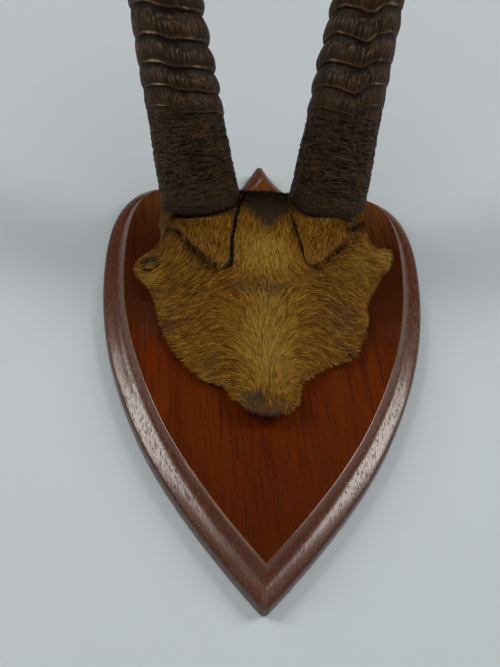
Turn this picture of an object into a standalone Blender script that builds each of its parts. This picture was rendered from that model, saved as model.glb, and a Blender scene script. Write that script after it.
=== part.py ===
"""A pair of ringed antelope horns, with the furred skin of the forehead, on a moulded wooden shield.

The shield hangs on a wall: +Z is up, the wall is the plane Y = 0 and the horns stand out along -Y.
The origin is on the shield's back, level with its widest place. Lengths are in metres.
"""

from math import cos, degrees, exp, pi, radians, sin

import bmesh
import bpy
import numpy as np
from mathutils import Vector
from mathutils.geometry import interpolate_bezier

MM = 0.001

# Shield: a board with an ogee moulding worked all round its front edge.
BOARD_THICKNESS = 19.0 * MM
EDGE_HEIGHT = 5.5 * MM           # square edge left below the moulding
MOULDING_WIDTH = 12.8 * MM
MOULDING_STEPS = 8
FILLET = 0.9 * MM                # small upstand where the moulding meets the flat field
FILLET_SLOPE = 0.3 * MM
SHARPEST_MITRE = 0.35            # keeps a mitred corner from running far past its point

# Clearance between touching pieces.
GAP = 0.3 * MM

# Horns: arc length, girth and the rings on them.
HORN_LENGTH = 445.0 * MM
HORN_RADIUS = 22.9 * MM          # across the head; the horn is deeper from front to back
HORN_FLARE = 1.9 * MM            # how much wider the foot is than that, ...
HORN_FLARE_LENGTH = 42.0 * MM    # and how soon that dies away
HORN_DEPTH_RATIO = 1.10
HORN_SIDES = 16
TIP_RADIUS = 1.4 * MM
TIP_LOOPS = 9
SOCKET_DEPTH = 20.0 * MM         # how far up the horn the skin is cut clear of it
SOCKET_FLARE = 4 * GAP
RING_SPACING = 14.6 * MM         # at the first ring; it widens a little with each one
RING_SPACING_GROWTH = 0.25 * MM
RING_COUNT = 17
RING_RELIEF = 3.2 * MM
RING_SINK = 0.35                 # share of the relief that lies below the horn's own girth
RING_LOOPS = (0.0, 0.16, 0.42, 0.74)  # loops of points in a ring, as shares of its length
RING_ROUNDNESS = 0.62            # under 1 puts the crest near the lip, so the lip is steep
RING_FADE = 230.0 * MM           # the rings get lower over this much of the horn's end
BOLDEST_SIDE = radians(40)       # rings stand out most here, between the front and the inner side
FAINTEST_RELIEF = 0.3            # and have this share of their relief on the opposite side
DIP_START = 25.0 * MM            # where the rings' dip to the inner side begins, ...
DIP_GROWTH = 45.0 * MM           # over what length it grows, ...
DIP_FADE = 150.0 * MM            # and over what length it dies away towards the tip
WRINKLE_RELIEF = 0.7 * MM        # low wrinkles between the skin and the first ring, ...
WRINKLE_SPACING = 6.0 * MM       # this far apart
WRINKLE_COUNT = 11

# Screws that hold the skull from behind.
SCREW_SHANK_RADIUS = 2.2 * MM
SCREW_HEAD_RADIUS = 4.4 * MM
SCREW_HEAD_EDGE = 0.4 * MM
SCREW_HEAD_HEIGHT = 2.2 * MM
SCREW_LENGTH = 33.2 * MM
SCREW_SINK = 0.8 * MM            # head below the back of the board
SCREW_SLOT = 1.1 * MM            # width of the driver's slot; it is as deep
SCREW_SIDES = 16
SCREW_PLACES = {"upper_screw": (1.0 * MM, 22.0 * MM), "lower_screw": (1.0 * MM, -62.0 * MM)}


# ---------------------------------------------------------------- helpers


def clear_scene():
    """Remove whatever the scene holds."""
    for old in list(bpy.data.objects):
        bpy.data.objects.remove(old, do_unlink=True)


def make_collection(name):
    """A new collection in the scene."""
    made = bpy.data.collections.new(name)
    bpy.context.scene.collection.children.link(made)
    return made


def make_material(name, colour, roughness, metallic=0.0):
    """A plain Principled material."""
    made = bpy.data.materials.new(name)
    made.use_nodes = True
    shader = made.node_tree.nodes["Principled BSDF"]
    shader.inputs["Base Color"].default_value = (*colour, 1.0)
    shader.inputs["Roughness"].default_value = roughness
    shader.inputs["Metallic"].default_value = metallic
    return made


def object_from(bm, name, collection, material=None):
    """Turn a finished bmesh into a named object with its faces pointing out."""
    bmesh.ops.recalc_face_normals(bm, faces=bm.faces)
    mesh = bpy.data.meshes.new(name)
    bm.to_mesh(mesh)
    bm.free()
    made = bpy.data.objects.new(name, mesh)
    collection.objects.link(made)
    if material:
        mesh.materials.append(material)
    mesh.shade_smooth()
    mesh.set_sharp_from_angle(angle=radians(35))
    return made


def cut(target, cutter):
    """Subtract one object from another with a Boolean modifier."""
    cutter.hide_render = True
    cutter.display_type = "WIRE"
    boolean = target.modifiers.new("cut " + cutter.name, "BOOLEAN")
    boolean.operation = "DIFFERENCE"
    boolean.object = cutter
    boolean.solver = "EXACT"


def next_loop(bm, edges):
    """Extrude a loop of edges and return the new edges and the new vertices in their old order."""
    old = []
    start = edges[0].verts[0] if edges[0].verts[0] not in edges[1].verts else edges[0].verts[1]
    for edge in edges:
        old.append(start)
        start = edge.other_vert(start)
    made = bmesh.ops.extrude_edge_only(bm, edges=edges)["geom"]
    new = {v for v in made if isinstance(v, bmesh.types.BMVert)}
    order = []
    for vertex in old:
        order.append(next(e.other_vert(vertex) for e in vertex.link_edges if e.other_vert(vertex) in new))
    loop = [bm.edges.get((order[i], order[(i + 1) % len(order)])) for i in range(len(order))]
    return loop, order


def start_loop(bm, points):
    """A closed loop of edges through the points."""
    verts = [bm.verts.new(p) for p in points]
    return [bm.edges.new((verts[i], verts[(i + 1) % len(verts)])) for i in range(len(verts))], verts


# ---------------------------------------------------------------- shield

# The right half of the outline, from the upper point down to the lower one: each entry is a
# place on the edge as (x, z), then its handles before and after. All are in millimetres.
HALF_OUTLINE = [
    ((1.4, 115.0), (1.4, 115.0), (4.0, 108.5)),
    ((19.5, 87.0), (11.5, 90.5), (27.5, 83.5)),
    ((58.0, 88.0), (44.0, 87.0), (86.0, 90.0)),
    ((101.6, 20.0), (101.6, 70.0), (101.6, -45.0)),
    ((70.0, -123.0), (86.0, -88.0), (53.0, -160.0)),
    ((1.6, -222.4), (20.5, -201.0), (1.6, -222.4)),
]
OUTLINE_STEPS = (7, 5, 9, 7, 6)  # straight pieces in each stretch of the outline


def half_outline():
    """Places down the right half of the shield's edge, as (x, z) with the centre line at both ends."""
    points = [Vector((0.0, HALF_OUTLINE[0][0][1]))]
    for start, end, steps in zip(HALF_OUTLINE, HALF_OUTLINE[1:], OUTLINE_STEPS):
        knots = [Vector(c) for c in (start[0], start[2], end[1], end[0])]
        points += interpolate_bezier(*knots, steps + 1)[:-1]
    points += [Vector(HALF_OUTLINE[-1][0]), Vector((0.0, HALF_OUTLINE[-1][0][1]))]
    return [p.to_2d() * MM for p in points]


def inset_outline(points, inset):
    """The half outline moved inwards, with both of its ends mitred on the centre line."""
    moved = []
    for i, point in enumerate(points):
        before = points[max(i - 1, 0)] - point
        after = points[min(i + 1, len(points) - 1)] - point
        if i == 0:
            before = Vector((-after.x, after.y))
        if i == len(points) - 1:
            after = Vector((-before.x, before.y))
        before.normalize()
        after.normalize()
        across = (after - before).normalized()
        inward = Vector((across.y, -across.x))
        spread = max(abs(inward.cross(after)), SHARPEST_MITRE)
        moved.append(point + inward * inset / spread)
    for order in (range(len(moved) // 2), range(len(moved) - 1, len(moved) // 2, -1)):
        order = list(order)
        passed = [k for k in range(1, len(order)) if moved[order[k]].x <= 0]
        if passed:
            last, first = moved[order[passed[-1]]], moved[order[passed[-1] + 1]]
            meet = last.lerp(first, -last.x / (first.x - last.x))
            for k in range(passed[-1] + 1):
                moved[order[k]] = Vector((0.0, meet.y))
    return moved


def ogee(u):
    """Share of the moulding's rise at a share u of its width: a roll, then a hollow."""
    return u + sin(2 * pi * u) / (2 * pi)


def make_shield(collection, material):
    """Half the board, from its back edge up the moulding to the flat field, then mirrored."""
    outline = half_outline()
    rise = BOARD_THICKNESS - FILLET - EDGE_HEIGHT
    levels = [(0.0, 0.0), (0.0, EDGE_HEIGHT)]
    for step in range(1, MOULDING_STEPS + 1):
        u = step / MOULDING_STEPS
        levels.append((MOULDING_WIDTH * u, EDGE_HEIGHT + rise * ogee(u)))
    levels.append((MOULDING_WIDTH + FILLET_SLOPE, BOARD_THICKNESS))
    bm = bmesh.new()
    rows = []
    for inset, height in levels:
        rows.append([bm.verts.new((p.x, -height, p.y)) for p in inset_outline(outline, inset)])
    for low, high in zip(rows, rows[1:]):
        for i in range(len(low) - 1):
            bm.faces.new((low[i], low[i + 1], high[i + 1], high[i]))
    bmesh.ops.remove_doubles(bm, verts=bm.verts, dist=0.01 * MM)
    for height in (0.0, BOARD_THICKNESS):
        rim = [v for v in bm.verts if abs(v.co.y + height) < 0.001 * MM]
        rim.sort(key=lambda v: -v.co.z)
        edges = [e for e in bm.edges if e.is_boundary and all(v in rim for v in e.verts)]
        ends = [v for v in rim if v.co.x < 0.001 * MM]
        edges.append(bm.edges.new((ends[0], ends[-1])))
        bmesh.ops.contextual_create(bm, geom=edges)
    made = object_from(bm, "shield", collection, material)
    mirror = made.modifiers.new("other half", "MIRROR")
    mirror.use_axis = (True, False, False)
    mirror.merge_threshold = 0.00002
    return made


# ---------------------------------------------------------------- skin of the forehead

# Edge of the skin on the board, clockwise from the back of the crown: x, z and the height of the
# rim above the board, in millimetres.
SKIN_EDGE = [
    (0, 57, 7), (26, 57, 7), (48, 55, 8), (61, 47, 9), (64, 36, 11), (62, 24, 13), (62, 14, 14),
    (65, 8, 14.5), (71, 5, 14.5), (77, 2, 14), (78, -5, 12.5), (73, -11, 10.5), (66, -18, 7),
    (61, -28, 5), (61.5, -39, 4.5), (59, -53.5, 4.5), (54, -64, 4.5), (50, -72.5, 4.5),
    (43, -75, 4.5), (35, -79, 4.5), (27, -87.5, 5), (20.5, -96, 6), (18.5, -107, 8),
    (13, -115.5, 9), (1.5, -118.5, 9), (-9, -116.5, 9), (-16, -109.5, 8), (-20, -101, 6),
    (-24.5, -97, 5), (-32, -93.5, 4.5), (-41.5, -84.5, 4.5), (-50, -75, 4.5), (-55.5, -65, 4.5),
    (-59.5, -55, 4.5), (-63, -42, 4.5), (-66, -31.5, 5), (-71, -24.5, 8), (-76.5, -20, 11),
    (-78.5, -14.5, 13), (-75, -7, 15), (-68, 0, 16), (-65.5, 10, 15), (-66.5, 21, 13),
    (-68, 32, 11), (-63, 44, 9), (-47, 53, 8), (-24, 56.5, 7),
]

# Heights of the skin above the board at places that give the head its form: x, z, height.
CROWN_AND_NOSE = [
    (0, 47, 25), (0, 34, 36.5), (0, 20, 36.5), (0, 0, 35), (0, -20, 32.5), (0, -40, 28.5),
    (0, -60, 23.5), (0, -80, 18.5), (0, -100, 14.5), (1, -112, 12),
]
BROWS = [
    (-43, 3, 40.5), (-30, -15, 36.5), (-47, -12, 35.5), (-60, -10, 27), (-58, 8, 33), (-20, 18, 37.5),
    (37, 7, 40.5), (28, -13, 36.5), (46, -9, 35.5), (60, -4, 27), (54, 14, 33), (14, 22, 37),
    (-41, 50, 14), (36, 53, 14), (-66, 22, 24), (61, 25, 25), (-16, 32, 36), (11, 35, 36),
    (-42, 27, 30), (36, 31, 30),
]
CHEEKS = [
    (-26, -40, 25.5), (-46, -34, 17), (-27, -60, 18.5), (-45, -56, 10), (-16, -80, 16), (-30, -80, 9),
    (26, -39, 25.5), (45, -32, 17), (27, -60, 18.5), (44, -54, 10), (16, -80, 16), (27, -76, 9.5),
    (-11, -105, 12.5), (13, -104, 12.5),
]
SKIN_CENTRE = (0.0, -25.0)
SKIN_FOOT = 0.94                 # the skin's edge is lifted: it meets the board this far in
SKIN_RINGS = (0.96, 0.90, 0.81, 0.70, 0.58, 0.45, 0.31, 0.16)


def plate_kernel(squared):
    """The bending shape of a thin plate at a squared distance from a point load."""
    return squared * np.log(squared + 1e-9)


def fit_skin():
    """Weights of a thin plate that passes through every given height."""
    places = np.array(SKIN_EDGE + CROWN_AND_NOSE + BROWS + CHEEKS, float)
    ground, height = places[:, :2], places[:, 2]
    squared = ((ground[:, None] - ground[None]) ** 2).sum(2)
    plane = np.hstack([np.ones((len(ground), 1)), ground])
    matrix = np.block([[plate_kernel(squared), plane], [plane.T, np.zeros((3, 3))]])
    solved = np.linalg.solve(matrix, np.concatenate([height, np.zeros(3)]))
    return ground, solved


def skin_height(x, z, fitted):
    """Height of the skin above the board at a place on it, in millimetres."""
    ground, solved = fitted
    squared = (ground[:, 0] - x) ** 2 + (ground[:, 1] - z) ** 2
    bent = plate_kernel(squared) @ solved[: len(ground)]
    return bent + solved[-3] + solved[-2] * x + solved[-1] * z


def towards_centre(x, z, share):
    """A place on the skin drawn in towards its centre."""
    return SKIN_CENTRE[0] + (x - SKIN_CENTRE[0]) * share, SKIN_CENTRE[1] + (z - SKIN_CENTRE[1]) * share


def skin_point(x, z, height):
    """A place over the board, from millimetres to metres."""
    return Vector((x * MM, -BOARD_THICKNESS - GAP - height * MM, z * MM))


def make_scalp(collection, material):
    """The skin-covered front of the skull: a rim round its edge, then rings up to the crown."""
    fitted = fit_skin()
    bm = bmesh.new()
    foot = [skin_point(*towards_centre(x, z, SKIN_FOOT), 0.0) for x, z, _ in SKIN_EDGE]
    loop, verts = start_loop(bm, foot)
    bm.faces.new(verts)
    loop, verts = next_loop(bm, loop)
    for vertex, (x, z, height) in zip(verts, SKIN_EDGE):
        vertex.co = skin_point(x, z, height)
    for share in SKIN_RINGS:
        loop, verts = next_loop(bm, loop)
        for vertex, (x, z, _) in zip(verts, SKIN_EDGE):
            place = towards_centre(x, z, share)
            vertex.co = skin_point(*place, skin_height(*place, fitted))
    middle = bm.verts.new(skin_point(*SKIN_CENTRE, skin_height(*SKIN_CENTRE, fitted)))
    for edge in loop:
        bm.faces.new((*edge.verts, middle))
    return object_from(bm, "scalp", collection, material)


# ---------------------------------------------------------------- horns

# Where each horn leaves the skull, how far up it the first ring is, and which way it leans.
# lean rows: arc length in millimetres, rise above the horizontal and splay to the side in degrees.
# ring_dip rows: an angle round the horn in degrees (0 is the front, 90 the inner side, -90 the
# outer one) and how far the ring lies towards the base there, in millimetres.
HORNS = {
    "left_horn": {
        "base": (-40.8, -44.2, 26.0),
        "side": -1,
        "first_ring": 67.0,
        "lean": (
            (0, 33.4, 13.2), (115, 34.5, 13), (200, 50, 14), (300, 65, 8), (380, 64, -4), (445, 54, -12),
        ),
        "ring_dip": (
            (-180, 5), (-90, 0), (-50, -4), (-25, -3.2), (-8, 0.3), (19, 0), (45, 5.7), (90, 11),
            (135, 9), (180, 5),
        ),
        "seed": 3,
    },
    "right_horn": {
        "base": (36.3, -43.6, 29.4),
        "side": 1,
        "first_ring": 70.0,
        "lean": (
            (0, 32.7, 6.7), (115, 34, 7.5), (200, 50, 13), (300, 65, 9), (380, 64, -3), (445, 54, -10),
        ),
        "ring_dip": (
            (-180, 5), (-90, 0), (-54, -5.3), (-31, -4.8), (-11, 0.5), (19, 0), (45, 6), (90, 11),
            (135, 9), (180, 5),
        ),
        "seed": 8,
    },
}
AXIS_STEP = 2.5 * MM


def lean_at(rows, s):
    """Rise and splay at an arc length, eased from one row to the next."""
    for (s0, rise0, splay0), (s1, rise1, splay1) in zip(rows, rows[1:]):
        if s <= s1 * MM or s1 == rows[-1][0]:
            u = min(max((s / MM - s0) / (s1 - s0), 0.0), 1.0)
            u = u * u * (3 - 2 * u)
            return radians(rise0 + (rise1 - rise0) * u), radians(splay0 + (splay1 - splay0) * u)


def horn_axis(horn):
    """Points and directions along the horn's middle, found by walking along it in short steps."""
    place = Vector(horn["base"]) * MM
    track = []
    steps = round(HORN_LENGTH / AXIS_STEP)
    for i in range(steps + 1):
        rise, splay = lean_at(horn["lean"], i * AXIS_STEP)
        along = Vector((horn["side"] * sin(splay), -cos(splay) * cos(rise), cos(splay) * sin(rise)))
        track.append((place.copy(), along))
        place = place + along * AXIS_STEP
    return track


def on_axis(track, s):
    """Place and direction at an arc length, with both ends run on straight."""
    i = min(max(int(s / AXIS_STEP), 0), len(track) - 2)
    u = s / AXIS_STEP - i
    place = track[i][0].lerp(track[i + 1][0], u)
    return place, track[i][1].lerp(track[i + 1][1], min(max(u, 0.0), 1.0)).normalized()


def girth(s):
    """Mean radius of the horn at an arc length."""
    share = min(max(s / HORN_LENGTH, 0.0), 1.0)
    flare = HORN_FLARE * exp(-share * HORN_LENGTH / HORN_FLARE_LENGTH) * (1 - share)
    return TIP_RADIUS + (HORN_RADIUS - TIP_RADIUS) * (1 - share**1.6) ** 0.8 + flare


def ring_places(horn):
    """Arc length of each ring's lip."""
    places = [horn["first_ring"] * MM]
    for i in range(RING_COUNT):
        places.append(places[-1] + RING_SPACING + i * RING_SPACING_GROWTH)
    return places


def ring_swell(u):
    """Height of one ring, from its lip (u = 0) up to the next: steep lip, rounded back."""
    return max(sin(pi * min(max(u, 0.0), 1.0) ** RING_ROUNDNESS), 0.0)


def around_strength(inward):
    """How strongly the rings stand out: most on the front and inner side, least outside."""
    return FAINTEST_RELIEF + (1 - FAINTEST_RELIEF) * (0.5 + 0.5 * cos(inward - BOLDEST_SIDE)) ** 0.8


def ring_shift(horn, inward, s):
    """How far a ring's place moves along the horn at an angle round it."""
    from_skin = min(max((s - DIP_START) / DIP_GROWTH, 0.0), 1.0)
    from_tip = min(max((HORN_LENGTH - s) / DIP_FADE, 0.0), 1.0)
    angles, dips = zip(*horn["ring_dip"])
    return -from_skin * from_tip * float(np.interp(degrees(inward), angles, dips)) * MM


def horn_stations(horn):
    """Arc lengths of the loops, with each loop's share of its ring's swell."""
    rings = ring_places(horn)
    stations = [(i * WRINKLE_SPACING, 0.0, i) for i in range(WRINKLE_COUNT)]
    for low, high in zip(rings, rings[1:]):
        fade = min(1.0, (HORN_LENGTH - low) / RING_FADE)
        for u in RING_LOOPS:
            stations.append((low + (high - low) * u, ring_swell(u) * fade, None))
    for i in range(TIP_LOOPS + 1):
        stations.append((rings[-1] + (HORN_LENGTH - rings[-1]) * (i / TIP_LOOPS) ** 0.8, 0.0, None))
    return stations


def horn_frame(along):
    """Two directions square to the horn: across the head, and out of its front."""
    across = Vector((1, 0, 0)) - along * along.x
    across.normalize()
    return across, across.cross(along)


def section(horn, track, s, swell, wrinkle, extra=0.0):
    """One loop of points round the horn."""
    points = []
    lumps = np.zeros(HORN_SIDES)
    if wrinkle:
        lumps = np.random.default_rng(horn["seed"] * 100 + wrinkle).uniform(-1, 1, HORN_SIDES)
    for i in range(HORN_SIDES):
        turn = 2 * pi * i / HORN_SIDES
        inward = (horn["side"] * (turn - pi / 2) + pi) % (2 * pi) - pi
        at = s + ring_shift(horn, inward, s)
        place, along = on_axis(track, at)
        across, forward = horn_frame(along)
        radius = girth(s) + extra + RING_RELIEF * (swell - RING_SINK) * around_strength(inward) * (swell > 0)
        radius += WRINKLE_RELIEF * lumps[i]
        points.append(place + across * radius * cos(turn) + forward * radius * HORN_DEPTH_RATIO * sin(turn))
    return points


def make_horn(name, horn, collection, material):
    """Loops from the skin to the tip, joined one to the next."""
    track = horn_axis(horn)
    bm = bmesh.new()
    stations = horn_stations(horn)
    loop, verts = start_loop(bm, section(horn, track, 0.0, 0.0, None))
    bm.faces.new(verts)
    for s, swell, wrinkle in stations[1:]:
        loop, verts = next_loop(bm, loop)
        for vertex, point in zip(verts, section(horn, track, s, swell, wrinkle)):
            vertex.co = point
    bm.faces.new(verts)
    return object_from(bm, name, collection, material)


def make_socket_cutter(name, horn, collection):
    """The horn's lowest stretch, a clearance larger all round, that makes room for it in the skin."""
    track = horn_axis(horn)
    bm = bmesh.new()
    loop, verts = start_loop(bm, section(horn, track, -GAP, 0.0, None, GAP))
    bm.faces.new(verts)
    loop, verts = next_loop(bm, loop)
    for vertex, point in zip(verts, section(horn, track, SOCKET_DEPTH, 0.0, None, SOCKET_FLARE)):
        vertex.co = point
    bm.faces.new(verts)
    return object_from(bm, name + "_socket", collection)


# ---------------------------------------------------------------- screws


def turned_screw(name, place, extra, collection, material=None):
    """A countersunk wood screw driven in from the back: its side view, turned round its axis."""
    top = SCREW_SINK + extra if extra else 0.0
    side_view = (
        (0.0, top),
        (SCREW_HEAD_RADIUS + extra, top),
        (SCREW_HEAD_RADIUS + extra, -SCREW_HEAD_EDGE),
        (SCREW_SHANK_RADIUS + extra, -SCREW_HEAD_HEIGHT),
        (SCREW_SHANK_RADIUS + extra, -SCREW_LENGTH - extra),
        (0.0, -SCREW_LENGTH - extra),
    )
    mesh = bpy.data.meshes.new(name)
    mesh.from_pydata([(r, 0.0, h) for r, h in side_view], [(i, i + 1) for i in range(len(side_view) - 1)], [])
    made = bpy.data.objects.new(name, mesh)
    collection.objects.link(made)
    made.location = (place[0], -SCREW_SINK, place[1])
    made.rotation_euler = (radians(-90), 0.0, 0.0)
    turned = made.modifiers.new("turned", "SCREW")
    turned.steps = turned.render_steps = SCREW_SIDES
    turned.use_merge_vertices = True
    turned.merge_threshold = 0.00001
    if material:
        mesh.materials.append(material)
    return made


def make_slot_cutter(name, place, collection):
    """A thin block that cuts the driver's slot in a screw head."""
    bm = bmesh.new()
    bmesh.ops.create_cube(bm, size=1.0)
    bmesh.ops.scale(bm, vec=(3 * SCREW_HEAD_RADIUS, 2 * SCREW_SLOT, SCREW_SLOT), verts=bm.verts)
    made = object_from(bm, name + "_slot", collection)
    made.location = (place[0], -SCREW_SINK, place[1])
    return made


# ---------------------------------------------------------------- assembly


def main():
    clear_scene()
    pieces = make_collection("antelope horns on a shield")
    cutters = make_collection("cutters")
    wood = make_material("varnished mahogany", (0.16, 0.030, 0.010), 0.32)
    skin = make_material("dried skin with short tan fur", (0.26, 0.15, 0.055), 0.85)
    horn_brown = make_material("dark ringed horn", (0.045, 0.030, 0.020), 0.55)
    steel = make_material("dull steel screw", (0.32, 0.31, 0.29), 0.45, 1.0)

    shield = make_shield(pieces, wood)
    scalp = make_scalp(pieces, skin)
    for name, horn in HORNS.items():
        make_horn(name, horn, pieces, horn_brown)
        cut(scalp, make_socket_cutter(name, horn, cutters))
    for name, place in SCREW_PLACES.items():
        screw = turned_screw(name, place, 0.0, pieces, steel)
        hole = turned_screw(name + "_hole", place, GAP, cutters)
        cut(screw, make_slot_cutter(name, place, cutters))
        cut(shield, hole)
        cut(scalp, hole)


main()
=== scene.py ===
# %% [markdown]
# # Antelope horns on a wooden shield
# The real object is a pair of ringed horns that still stand on the front of the skull. The skull
# is covered with the dried, short-haired skin of the forehead and is screwed to a moulded wooden
# shield that hangs on a wall. The construction comes as a frame of plain solids, all in one body.
# Each piece below is made over its own solid, so nothing has to be fitted afterwards.

# %% Load the solids and keep their box
from math import cos, pi, radians, sin

import bmesh
import bpy
import numpy as np
from mathutils import Matrix, Vector
from mathutils.bvhtree import BVHTree
from mathutils.geometry import interpolate_bezier
from mathutils.kdtree import KDTree


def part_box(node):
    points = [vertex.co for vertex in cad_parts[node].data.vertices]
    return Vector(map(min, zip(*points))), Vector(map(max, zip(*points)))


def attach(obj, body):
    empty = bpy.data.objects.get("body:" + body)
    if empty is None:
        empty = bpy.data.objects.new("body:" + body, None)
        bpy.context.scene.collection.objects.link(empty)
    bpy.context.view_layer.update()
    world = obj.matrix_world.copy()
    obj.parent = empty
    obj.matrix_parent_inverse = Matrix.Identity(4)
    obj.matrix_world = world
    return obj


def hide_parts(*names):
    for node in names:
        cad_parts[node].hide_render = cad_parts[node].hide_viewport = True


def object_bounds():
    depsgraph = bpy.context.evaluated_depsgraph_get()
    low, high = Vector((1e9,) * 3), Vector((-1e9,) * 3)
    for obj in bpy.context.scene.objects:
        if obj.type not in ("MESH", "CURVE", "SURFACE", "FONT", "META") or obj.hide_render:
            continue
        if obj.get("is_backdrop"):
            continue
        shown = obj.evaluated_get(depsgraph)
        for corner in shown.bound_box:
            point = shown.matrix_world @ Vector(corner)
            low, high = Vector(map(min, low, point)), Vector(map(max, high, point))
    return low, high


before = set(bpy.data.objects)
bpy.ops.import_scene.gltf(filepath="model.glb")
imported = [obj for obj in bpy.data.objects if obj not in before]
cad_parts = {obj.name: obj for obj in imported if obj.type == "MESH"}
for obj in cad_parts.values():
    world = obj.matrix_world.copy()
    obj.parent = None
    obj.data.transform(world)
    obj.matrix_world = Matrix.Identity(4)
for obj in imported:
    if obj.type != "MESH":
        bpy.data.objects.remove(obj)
cad_box = [list(corner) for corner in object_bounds()]
MM = 0.001
print("solids:", ", ".join(sorted(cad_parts)))

# %% [markdown]
# ## Camera
# The picture was taken from below the board's middle, looking up along the horns. A camera can be
# placed by rotation angles, but a matrix made from its own right, up and back directions is
# easier to check against the picture, so the three directions are worked out first.

# %% Camera at the picture's viewing angle
CAMERA_PLACE = Vector((-37.2, -452.1, -440.5)) * MM
CAMERA_HEADING = radians(3.74)      # turned a little to the right of straight ahead
CAMERA_RISE = radians(41.75)        # looking up
CAMERA_ROLL = radians(0.36)
CAMERA_LENS = 53.0                  # mm, on a sensor whose long side is 36 mm

ahead = Vector((
    sin(CAMERA_HEADING) * cos(CAMERA_RISE), cos(CAMERA_HEADING) * cos(CAMERA_RISE), sin(CAMERA_RISE)
))
level = ahead.cross(Vector((0, 0, 1))).normalized()
above = level.cross(ahead)
to_right = level * cos(CAMERA_ROLL) + above * sin(CAMERA_ROLL)
to_top = above * cos(CAMERA_ROLL) - level * sin(CAMERA_ROLL)

camera = bpy.data.objects.new("camera", bpy.data.cameras.new("camera"))
bpy.context.scene.collection.objects.link(camera)
turned = Matrix((to_right, to_top, -ahead)).transposed().to_4x4()
camera.matrix_world = Matrix.Translation(CAMERA_PLACE) @ turned
camera.data.lens = CAMERA_LENS
camera.data.sensor_width = 36.0
bpy.context.scene.camera = camera
print("camera", tuple(round(c, 3) for c in camera.location))

# %% [markdown]
# ## Meshes from arrays
# Horns, skin and hairs have tens of thousands of points each. Adding them one at a time is slow,
# so every mesh here is made from two arrays, its points and the corners of its faces, that
# Blender takes in one go. A value at every point, such as how deep it lies in a groove, is kept
# as an attribute that the materials read.

# %% Helpers that turn arrays into pieces
def mesh_from(name, points, *face_sets):
    """A smooth mesh from points (n, 3) and arrays of faces, each array with faces of one size."""
    mesh = bpy.data.meshes.new(name)
    corners = np.concatenate([np.asarray(faces).ravel() for faces in face_sets])
    sizes = np.concatenate([np.full(len(faces), np.shape(faces)[1]) for faces in face_sets])
    mesh.vertices.add(len(points))
    mesh.vertices.foreach_set("co", np.asarray(points, np.float32).ravel())
    mesh.loops.add(len(corners))
    mesh.loops.foreach_set("vertex_index", corners.astype(np.int32))
    mesh.polygons.add(len(sizes))
    starts = np.concatenate([[0], np.cumsum(sizes)[:-1]])
    mesh.polygons.foreach_set("loop_start", starts.astype(np.int32))
    mesh.update(calc_edges=True)
    mesh.validate()
    mesh.shade_smooth()
    return mesh


def note(mesh, name, values):
    """Keep one number, or one vector, for each point of a mesh."""
    values = np.asarray(values, np.float32)
    kind, field = ("FLOAT", "value") if values.ndim == 1 else ("FLOAT_VECTOR", "vector")
    mesh.attributes.new(name, kind, "POINT").data.foreach_set(field, values.ravel())


def tube_faces(rows, around, first=0):
    """The quads between neighbouring loops of points, each loop closed on itself."""
    here = np.arange(around)
    after = (here + 1) % around
    low = first + np.arange(rows - 1)[:, None] * around
    return np.stack([low + here, low + after, low + around + after, low + around + here], -1).reshape(-1, 4)


def place_piece(mesh, slot, material, *nodes):
    """Put a mesh in the scene as a piece of the object that stands for the named solids."""
    piece = bpy.data.objects.new(mesh.name, mesh)
    bpy.context.scene.collection.objects.link(piece)
    mesh.materials.append(material)
    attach(piece, "root")
    if nodes:
        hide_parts(*nodes)
    mesh.calc_loop_triangles()
    print(piece.name, len(mesh.loop_triangles), "triangles")

# %% [markdown]
# ## Natural unevenness
# Nothing on this object is quite smooth. Blender's Displace modifier could add noise, but it
# can't follow the length of a horn. Here random numbers sit on a grid that is wrapped round the
# piece, and a smooth curve runs between them. A fixed seed gives the same surface every time.

# %% Smooth random hills over a surface
def ease(share):
    """Zero slope at 0 and at 1."""
    return share * share * (3 - 2 * share)


def hills(across, along, cells, seed):
    """Smooth random heights from -1 to 1: this many cells while across goes from 0 to 1, where it
    meets itself again, and one cell to each unit along."""
    across, along = np.broadcast_arrays((across % 1.0) * cells, along)
    column = np.floor(across).astype(int)
    row = np.floor(along).astype(int)
    right, up = ease(across - column), ease(along - row)
    row = row - row.min()
    grid = np.random.default_rng(seed).uniform(-1, 1, (row.max() + 2, cells))
    column, after = column % cells, (column + 1) % cells
    low = grid[row, column] * (1 - right) + grid[row, after] * right
    high = grid[row + 1, column] * (1 - right) + grid[row + 1, after] * right
    return low * (1 - up) + high * up


def rise(low, high, values):
    """0 up to low, 1 from high on, and an eased slope between them."""
    return ease(np.clip((values - low) / (high - low), 0, 1))


print("hills at three places:", hills(np.array([0.1, 0.5, 0.9]), np.zeros(3), 5, 1).round(2))

# %% [markdown]
# ## Materials made of nodes
# Every finish is a Principled shader fed by noise and by the notes on the points. These few
# helpers keep such a tree short: one adds a node and fills its inputs, and the others are the
# steps that come back in every material. A colour is built as a painter does it, in layers, each
# of which covers a share of what is under it. All colours are linear red, green and blue.

# %% Helpers that build a node tree
def new_finish(name, roughness, **fixed):
    """A material with its tree and its Principled shader; fixed values go on the shader itself."""
    finish = bpy.data.materials.new(name)
    finish.use_nodes = True
    tree = finish.node_tree
    shader = tree.nodes["Principled BSDF"]
    shader.inputs["Roughness"].default_value = roughness
    for socket, value in fixed.items():
        shader.inputs[socket.replace("_", " ")].default_value = value
    return finish, tree, shader


def add(tree, kind, inputs=(), **settings):
    """A node of a kind, its settings set and its inputs filled with values or linked."""
    node = tree.nodes.new("ShaderNode" + kind)
    for key, value in settings.items():
        setattr(node, key, value)
    for key, value in dict(inputs).items():
        if isinstance(value, bpy.types.NodeSocket):
            tree.links.new(value, node.inputs[key])
        else:
            node.inputs[key].default_value = value
    return node


def place_on(tree):
    """Where a point lies on the piece, in metres."""
    return add(tree, "TexCoord").outputs["Object"]


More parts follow.
